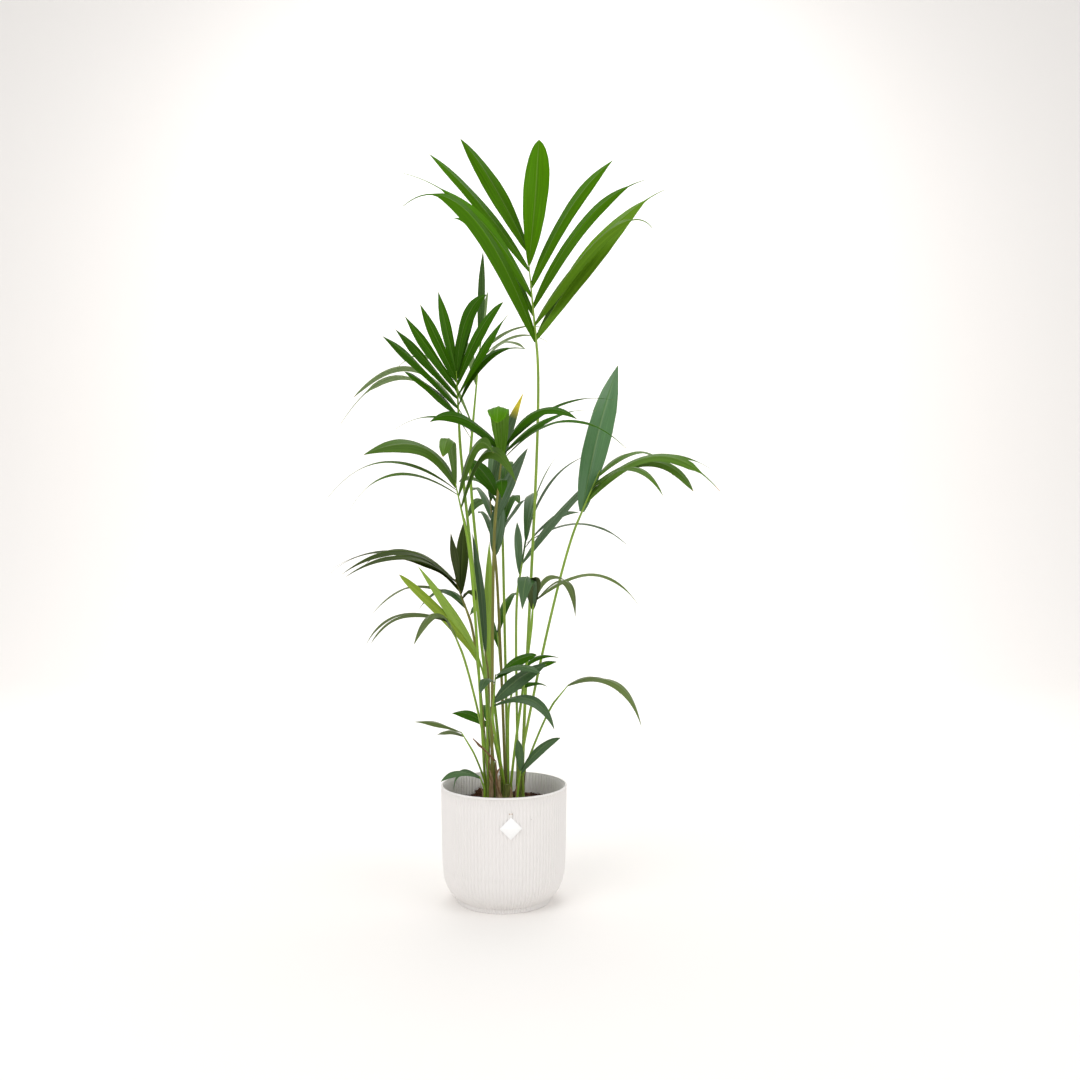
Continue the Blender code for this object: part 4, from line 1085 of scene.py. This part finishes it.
def fanned_faces(rings, sides, down=False):
    """The faces of a closed body with one point before its rings and one after them."""
    last, end = 1 + (rings - 1) * sides, 1 + rings * sides
    pairs = [(side, (side + 1) % sides) for side in range(sides)]
    if down:
        pairs = [(beside, side) for side, beside in pairs]
    before = [(0, 1 + beside, 1 + side) for side, beside in pairs]
    after = [(last + side, last + beside, end) for side, beside in pairs]
    return before + ring_faces(rings, sides, 1, down) + after


def soil_mesh(finish):
    """The soil as a closed body, lumpy on top, with the attribute strewn on its open top."""
    edge = inner_radius(SOIL_TOP) - SOIL_CLEARANCE
    rings = round(edge / SOIL_RING)
    points = [Vector((0, 0, soil_height(0)))]
    for ring in range(1, rings + 1):
        radius = edge * ring / rings
        for way in circle(SOIL_SIDES):
            spot = way * radius
            lumps = sum(height * noise.noise(spot / breadth) for height, breadth in SOIL_LUMPS)
            points.append(spot + Vector((0, 0, soil_height(radius) + lumps)))
    strewn = [1.0 if spot.xy.length < edge - STREWN_MARGIN else 0.0 for spot in points]
    heights = (SOIL_TOP - 8, CORNER_TOP, SOIL_UNDERSIDE)
    for height in heights:
        radius = inner_radius(height) - SOIL_CLEARANCE
        points += [way * radius + Vector((0, 0, height)) for way in circle(SOIL_SIDES)]
    points.append(Vector((0, 0, SOIL_UNDERSIDE)))
    strewn += [0.0] * (len(points) - len(strewn))
    faces = fanned_faces(rings + len(heights), SOIL_SIDES, down=True)
    made = mesh_object("soil_bed", [point * MM for point in points], faces, finish)
    write(made.data, "strewn", "FLOAT", strewn)
    return made


def tube(name, centres, radii, sides, finish=None):
    """A closed tube of few sides, for things that are repeated hundreds of times."""
    points = []
    for number, (centre, radius) in enumerate(zip(centres, radii)):
        before = centres[max(number - 1, 0)]
        after = centres[min(number + 1, len(centres) - 1)]
        way = (after - before).normalized()
        first = way.orthogonal().normalized()
        second = way.cross(first)
        points += [centre + (first * side.x + second * side.y) * radius for side in circle(sides)]
    return mesh_object(name, points, capped_faces(len(centres), sides), finish)


def kinds_of(name, members):
    """A collection of these objects, out of the scene."""
    kinds = bpy.data.collections.new(name)
    for member in members:
        bpy.context.scene.collection.objects.unlink(member)
        kinds.objects.link(member)
    return kinds


def drop_kinds(kinds):
    for made in list(kinds.objects):
        bpy.data.objects.remove(made)
    bpy.data.collections.remove(kinds)


def crumb(seed):
    """A broken bit of bark with a radius of about 1 mm, of a few dozen faces."""
    rows, sides = 4, 7
    size = Vector((1.0, 0.7, 0.5))
    points = [Vector((0, 0, -size.z))]
    for row in range(1, rows):
        lift = math.pi * row / rows
        for way in circle(sides):
            spot = (way * math.sin(lift) - Vector((0, 0, math.cos(lift)))) * size
            points.append(spot * (1 + 0.6 * noise.noise(spot * 2.3 + Vector((seed * 7.1, 0, 0)))))
    points.append(Vector((0, 0, size.z)))
    return mesh_object(f"crumb_{seed}", [point * MM for point in points], fanned_faces(rows - 1, sides))


def fibre(seed, length, arch):
    """A curved coir fibre that lies along X, with its ends down."""
    centres = []
    for step in range(7):
        t = step / 6 - 0.5
        wander = 2.0 * noise.noise(Vector((t * 3, seed * 5.3, 0)))
        centres.append(Vector((length * t, wander, arch * (1 - 4 * t * t))) * MM)
    return tube(f"fibre_{seed}", centres, [r * MM for r in (0.1, 0.22, 0.26, 0.26, 0.24, 0.2, 0.08)], 4)


def bristle(seed):
    """A stiff root or fibre that stands up and leans."""
    centres = []
    for step in range(6):
        t = step / 5
        bend = Vector((noise.noise(Vector((t, seed * 3.1, 0))), noise.noise(Vector((t, 0, seed * 3.7))), 0))
        centres.append((Vector((0, 0, 7 * t)) + bend * 3.5 * t) * MM)
    return tube(f"bristle_{seed}", centres, [r * MM for r in (0.4, 0.34, 0.3, 0.24, 0.18, 0.08)], 4)


def clump_mesh(finish):
    """A knot of roots and coir that stands out of the soil, as a lumpy dome."""
    rows, sides = 12, 28
    middle, size = Vector(KNOT_PLACE), Vector(KNOT_SIZE)
    underside = math.radians(111.6)  # from its top, a little past its widest ring
    points = []
    for row in range(rows + 1):
        lift = underside * row / rows
        for way in circle(sides):
            spot = way * math.sin(lift) + Vector((0, 0, math.cos(lift)))
            rough = 1 + 0.35 * noise.noise(spot * 2.4) + 0.12 * noise.noise(spot * 7)
            points.append((middle + spot * size * rough) * MM)
    made = mesh_object("root_knot", points, capped_faces(rows + 1, sides, down=True), finish)
    write(made.data, "strewn", "FLOAT", [1.0] * len(points))
    return made


def stem_core(name, across, deep, top, finish):
    """A stem wrapped in old sheaths: fibrous, with the torn edge of a sheath round it."""
    levels, sides = 22, 56
    foot = (soil_height(0) - STEM_SUNK) * MM / CM
    points = []
    for level in range(levels + 1):
        share = level / levels
        height = foot + (top - foot) * share
        radius = STEM_CORE_RADIUS + (STEM_FOOT_RADIUS - STEM_CORE_RADIUS) * (1 - share) ** 2 * 0.5
        for way in circle(sides):
            fibres = STEM_FIBRES * noise.noise(Vector((way.x * 9, way.y * 9, height * 0.5 + across * 3)))
            torn = 0.45 + 0.18 * noise.noise(Vector((way.x * 2, way.y * 2, across * 5)))
            edge = SHEATH_EDGE if share < torn else 0.0
            points.append((Vector((across, deep, height)) + way * (radius + fibres + edge)) * CM)
    return mesh_object(name, points, capped_faces(levels + 1, sides), finish)


class PotSettings(bpy.types.PropertyGroup):
    rib_count: bpy.props.IntProperty(
        name="Ribs", description="How many ribs run up the pot", default=104, min=12)
    relief: bpy.props.FloatProperty(
        name="Relief", description="Depth of the grooves between the ribs", default=1.7 * MM,
        unit="LENGTH", precision=4)
    colour: bpy.props.FloatVectorProperty(
        name="Colour", description="The pot's plastic", subtype="COLOR", size=4,
        default=linear("ebe8e6"))
    card: bpy.props.FloatVectorProperty(
        name="Tag", description="The blank card on the pot", subtype="COLOR", size=4,
        default=linear("fdfdfd"))


class SoilSettings(bpy.types.PropertyGroup):
    crumb_spacing: bpy.props.FloatProperty(
        name="Bark Spacing", description="Least distance between bits of bark", default=5.5 * MM,
        unit="LENGTH", precision=4)
    fibre_spacing: bpy.props.FloatProperty(
        name="Fibre Spacing", description="Least distance between coir fibres", default=9 * MM,
        unit="LENGTH", precision=4)
    seed: bpy.props.IntProperty(name="Seed", description="Deals out the bits of bark", default=4)


class PlantSettings(bpy.types.PropertyGroup):
    leaf_steps: bpy.props.IntProperty(
        name="Leaflet Steps", description="Sections along a leaflet", default=22, min=4)
    fold: bpy.props.FloatProperty(
        name="Fold", description="Height of a leaflet's fold as a share of half its width", default=0.26)
    thickness: bpy.props.FloatProperty(
        name="Thickness", description="A leaflet's thickness as a share of half its width", default=0.05)
    sway: bpy.props.FloatProperty(
        name="Sway", description="How far a leaflet's face turns along its length", default=math.radians(8),
        subtype="ANGLE")
    seed: bpy.props.IntProperty(name="Seed", description="Deals out tones and waves", default=11)


class StageSettings(bpy.types.PropertyGroup):
    floor: bpy.props.FloatVectorProperty(
        name="Floor", description="Floor and backdrop paper", subtype="COLOR", size=4,
        default=linear("f7f4f1"))
    reach: bpy.props.FloatProperty(
        name="Reach", description="Half the stage's width", default=4.0, unit="LENGTH")


class PALM_OT_pot(bpy.types.Operator):
    """Makes the ribbed pot from one rib, repeated round its axis"""
    bl_idname = "palm.pot"
    bl_label = "Pot"

    def execute(self, context):
        settings = context.scene.palm_pot
        plastic = moulded_polypropylene("moulded_white_polypropylene", tuple(settings.colour))
        piece = grown("pot_shell", rib_slice(settings.rib_count, settings.relief / MM), ring_tree(), {
            "Count": settings.rib_count, "Merge Distance": 0.01 * MM, "Finish": plastic}, 60.0)
        dress(piece, ["pot"])
        return {"FINISHED"}


class PALM_OT_tag(bpy.types.Operator):
    """Makes the blank card that hangs on the pot's front"""
    bl_idname = "palm.tag"
    bl_label = "Tag"

    def execute(self, context):
        card = coated_card("white_coated_card", tuple(context.scene.palm_pot.card))
        clear = coated_card("clear_moulded_plastic", linear("f1eeeb"))
        tan = coated_card("tan_moulded_plastic", linear("bfa592"))
        turn = math.asin(TAG_ACROSS / outer_radius(TAG_MIDDLE))
        across = Vector((math.cos(turn), math.sin(turn), 0))
        out = Vector((math.sin(turn), -math.cos(turn), 0))
        squares = [(step / 4) ** 2 for step in range(5)]
        quarter = [Vector((rise - fall, rise + fall)) * TAG_ROUNDING
                   for rise, fall in zip(squares, reversed(squares))]
        square = []
        for side, up in ((0, -TAG_HALF), (TAG_HALF, 0), (0, TAG_HALF), (-TAG_HALF, 0)):
            square += [Vector((side, TAG_MIDDLE + up)) + spot for spot in quarter]
            quarter = [Vector((-spot.y, spot.x)) for spot in quarter]
        joint = TAG_MIDDLE + TAG_HALF - TAG_JOINT
        neck = [Vector((side * TAG_NECK_HALF, up)) for side, up in (
            (-1, joint), (1, joint), (1, TAG_TOP), (-1, TAG_TOP))]
        for name, outline, finish, thick, nodes in (("tag_card", square, card, TAG_THICK, ["tag"]),
                                                    ("tag_neck", neck, clear, TAG_THICK * 0.5, [])):
            centre = sum(outline, Vector((0, 0))) / len(outline)
            points = []
            for proud, inset in ((0.0, TAG_EDGE), (0.1, 0.0), (thick - 0.1, 0.0), (thick, TAG_EDGE)):
                for spot in outline:
                    spot = spot - (spot - centre).normalized() * inset
                    reach = outer_radius(spot.y) + GAP / MM + proud
                    points.append((across * spot.x + out * reach + Vector((0, 0, spot.y))) * MM)
            dress(mesh_object(name, points, capped_faces(4, len(outline)), finish), nodes)
        for number, side in enumerate((-PRONG_ASIDE, PRONG_ASIDE)):
            front = across * side + out * (outer_radius(TAG_TOP) + GAP / MM + TAG_THICK)
            front.z = TAG_TOP - PRONG_DROP
            pin = [(front + out * way) * MM for way in (-0.7, 0.0, 0.2, 0.3)]
            dress(tube(f"tag_prong_{number}", pin, [r * MM for r in (1.1, 1.1, 0.9, 0.5)], 12, tan))
        return {"FINISHED"}


class PALM_OT_soil(bpy.types.Operator):
    """Makes the soil, with bark and coir strewn on it"""
    bl_idname = "palm.soil"
    bl_label = "Soil"

    def execute(self, context):
        settings = context.scene.palm_soil
        peat = crumbled("damp_peat", "1d1411", "3a221a", "4a3226", 3.0)
        bark = crumbled("composted_bark", "2a1a15", "5a3023", "806a58", 2.0)
        coir = crumbled("coir_fibre", "2c1c15", "5c3a28", "8a6c50", 1.5)
        tree = scatter_tree()
        bed = soil_mesh(peat)
        knot = clump_mesh(coir)
        crumbs = kinds_of("crumb_kinds", [crumb(seed) for seed in range(5)])
        fibres = kinds_of("fibre_kinds", [fibre(seed, 13 + 3 * seed, 2.5) for seed in range(3)])
        bristles = kinds_of("bristle_kinds", [bristle(seed) for seed in range(4)])
        jobs = (
            ("bark_crumbs", bed, crumbs, settings.crumb_spacing, 1.2, 4.2, math.pi, bark),
            ("coir_fibres", bed, fibres, settings.fibre_spacing, 0.6, 1.3, 0.35, coir),
            ("root_bristles", knot, bristles, BRISTLE_SPACING * MM, 0.5, 1.1, 1.1, coir),
        )
        for name, ground, kinds, spacing, least, greatest, lean, finish in jobs:
            piece = grown(name, placed(name + "_ground", ground.data.copy()), tree, {
                "Kinds": kinds, "Spacing": spacing, "Least Size": least, "Greatest Size": greatest,
                "Lean": lean, "Seed": settings.seed, "Finish": finish}, 35.0)
            dress(piece)
            drop_kinds(kinds)
        dress(bed, ["soil"])
        dress(knot)
        return {"FINISHED"}


class PALM_OT_stems(bpy.types.Operator):
    """Makes the clump's short stems and the dry remains of their sheaths"""
    bl_idname = "palm.stems"
    bl_label = "Stems"

    def execute(self, context):
        chance = random.Random(context.scene.palm_plant.seed)
        bark = fibrous_sheath("old_sheath_fibre", "7c8440", "414a1c")
        dry = fibrous_sheath("dry_papery_sheath", "ab9472", "7a6444")
        brown = fibrous_sheath("withered_skin", "916c48", "62452c")
        for name, sizes in STEMS.items():
            dress(stem_core("stem_core_" + name, *sizes, bark), ["stem_" + name])
        section = sheath_profile(0.45, 0.1)
        curls = [curl_strand(spec, chance) for spec in CURLS]
        sheaths = [sheath_strand(spec, chance) for spec in SHEATHS]
        dress(swept("withered_curls", curls, section, brown, brown))
        dress(swept("dry_sheaths", sheaths, section, dry, dry))
        bpy.data.objects.remove(section)
        return {"FINISHED"}


class PALM_OT_stalks(bpy.types.Operator):
    """Makes every frond's stalk and rib, swept up from the soil"""
    bl_idname = "palm.stalks"
    bl_label = "Stalks"

    def execute(self, context):
        chance = random.Random(context.scene.palm_plant.seed + 1)
        section = stalk_profile(0.35)
        for name, (skin, streak, fronds) in STALKS.items():
            finish = stalk_skin(f"{name}_stalk_skin", skin, streak)
            chosen = [frond for frond in FRONDS if frond.name in fronds]
            strands = [stalk_strand(frond, chance) for frond in chosen]
            piece = swept(f"stalks_{name}", strands, section, finish, finish)
            dress(piece, ["stalk_" + frond.name for frond in chosen])
        bpy.data.objects.remove(section)
        return {"FINISHED"}


class PALM_OT_leaflets(bpy.types.Operator):
    """Makes the leaflets of all fronds, in one piece for each tint"""
    bl_idname = "palm.leaflets"
    bl_label = "Leaflets"

    def execute(self, context):
        settings = context.scene.palm_plant
        chance = random.Random(settings.seed + 2)
        section = leaf_profile(settings.fold, settings.thickness)
        strands = {tint: [] for tint in TINTS}
        blades = {tint: {} for tint in TINTS}
        for frond in FRONDS:
            for number in range(len(frond.leaflets)):
                tint = LEAF_TINTS.get((frond.name, number), FROND_TINTS[frond.name])
                strands[tint].append(leaf_strand(frond, number, settings.leaf_steps, settings.sway, chance))
                blades[tint]["blade_" + frond.name] = True
        for tint, (blade, streak, underside, specular, *tip) in TINTS.items():
            upper = leaf_skin(f"{tint}_leaf_upper", blade, streak, 0.4, specular, *tip)
            under = leaf_skin(f"{tint}_leaf_underside", underside, streak, 0.55, specular, *tip)
            dress(swept(f"leaflets_{tint}", strands[tint], section, upper, under), blades[tint])
        bpy.data.objects.remove(section)
        return {"FINISHED"}


class PALM_OT_stage(bpy.types.Operator):
    """Makes the pale stage, the soft lights and the camera"""
    bl_idname = "palm.stage"
    bl_label = "Stage"

    def execute(self, context):
        settings = context.scene.palm_stage
        paper = studio_paper("pale_backdrop_paper", tuple(settings.floor))
        reach = settings.reach
        profile = [(-reach, 0.0)]
        for step in range(BEND_STEPS + 1):
            turn = math.pi / 2 * step / BEND_STEPS
            profile.append((reach - BEND * (1 - math.sin(turn)), BEND * (1 - math.cos(turn))))
        profile.append((reach, WALL_HEIGHT))
        points = [Vector((side, deep, up)) for deep, up in profile for side in (-reach, reach)]
        faces = [(2 * row, 2 * row + 1, 2 * row + 3, 2 * row + 2) for row in range(len(profile) - 1)]
        mesh_object("backdrop", points, faces, paper)
        for name, (place, target, size, power) in LAMPS.items():
            lamp = bpy.data.lights.new(name, "AREA")
            lamp.size = size
            lamp.energy = power
            light = placed(name, lamp)
            light.location = place
            light.rotation_euler = (Vector(target) - light.location).to_track_quat("-Z", "Y").to_euler()
        world = bpy.data.worlds.new("studio")
        world.use_nodes = True
        join(world.node_tree.nodes["Background"], {"Color": (1.0, 1.0, 1.0, 1.0), "Strength": 0.7})
        context.scene.world = world
        context.scene.view_settings.view_transform = "Standard"
        camera = bpy.data.cameras.new("camera")
        camera.lens = LENS
        viewer = placed("camera", camera)
        viewer.location = Vector((VIEW_ACROSS, -VIEW_BACK, VIEW_UP)) * CM
        viewer.rotation_euler = (math.pi / 2, 0, 0)
        context.scene.camera = viewer
        return {"FINISHED"}


class PALM_PT_panel(bpy.types.Panel):
    """Lists the palm's pieces and sizes"""
    bl_label = "Potted Kentia Palm"
    bl_idname = "PALM_PT_panel"
    bl_space_type = "VIEW_3D"
    bl_region_type = "UI"
    bl_category = "Palm"

    def draw(self, context):
        for step in STEPS:
            self.layout.operator(step.bl_idname)
        for group in SETTINGS:
            box = self.layout.box()
            for name in SETTINGS[group].__annotations__:
                box.prop(getattr(context.scene, group), name)


SETTINGS = {"palm_pot": PotSettings, "palm_soil": SoilSettings, "palm_plant": PlantSettings,
            "palm_stage": StageSettings}
STEPS = (PALM_OT_pot, PALM_OT_tag, PALM_OT_soil, PALM_OT_stems, PALM_OT_stalks, PALM_OT_leaflets,
         PALM_OT_stage)


def register():
    for group, kind in SETTINGS.items():
        bpy.utils.register_class(kind)
        setattr(bpy.types.Scene, group, bpy.props.PointerProperty(type=kind))
    for step in STEPS:
        bpy.utils.register_class(step)
    bpy.utils.register_class(PALM_PT_panel)


def unregister():
    bpy.utils.unregister_class(PALM_PT_panel)
    for step in reversed(STEPS):
        bpy.utils.unregister_class(step)
    for group, kind in SETTINGS.items():
        delattr(bpy.types.Scene, group)
        bpy.utils.unregister_class(kind)


def main():
    register()
    bpy.ops.palm.pot()
    bpy.ops.palm.tag()
    bpy.ops.palm.soil()
    bpy.ops.palm.stems()
    bpy.ops.palm.stalks()
    bpy.ops.palm.leaflets()
    bpy.ops.palm.stage()


if __name__ == "__main__":
    main()
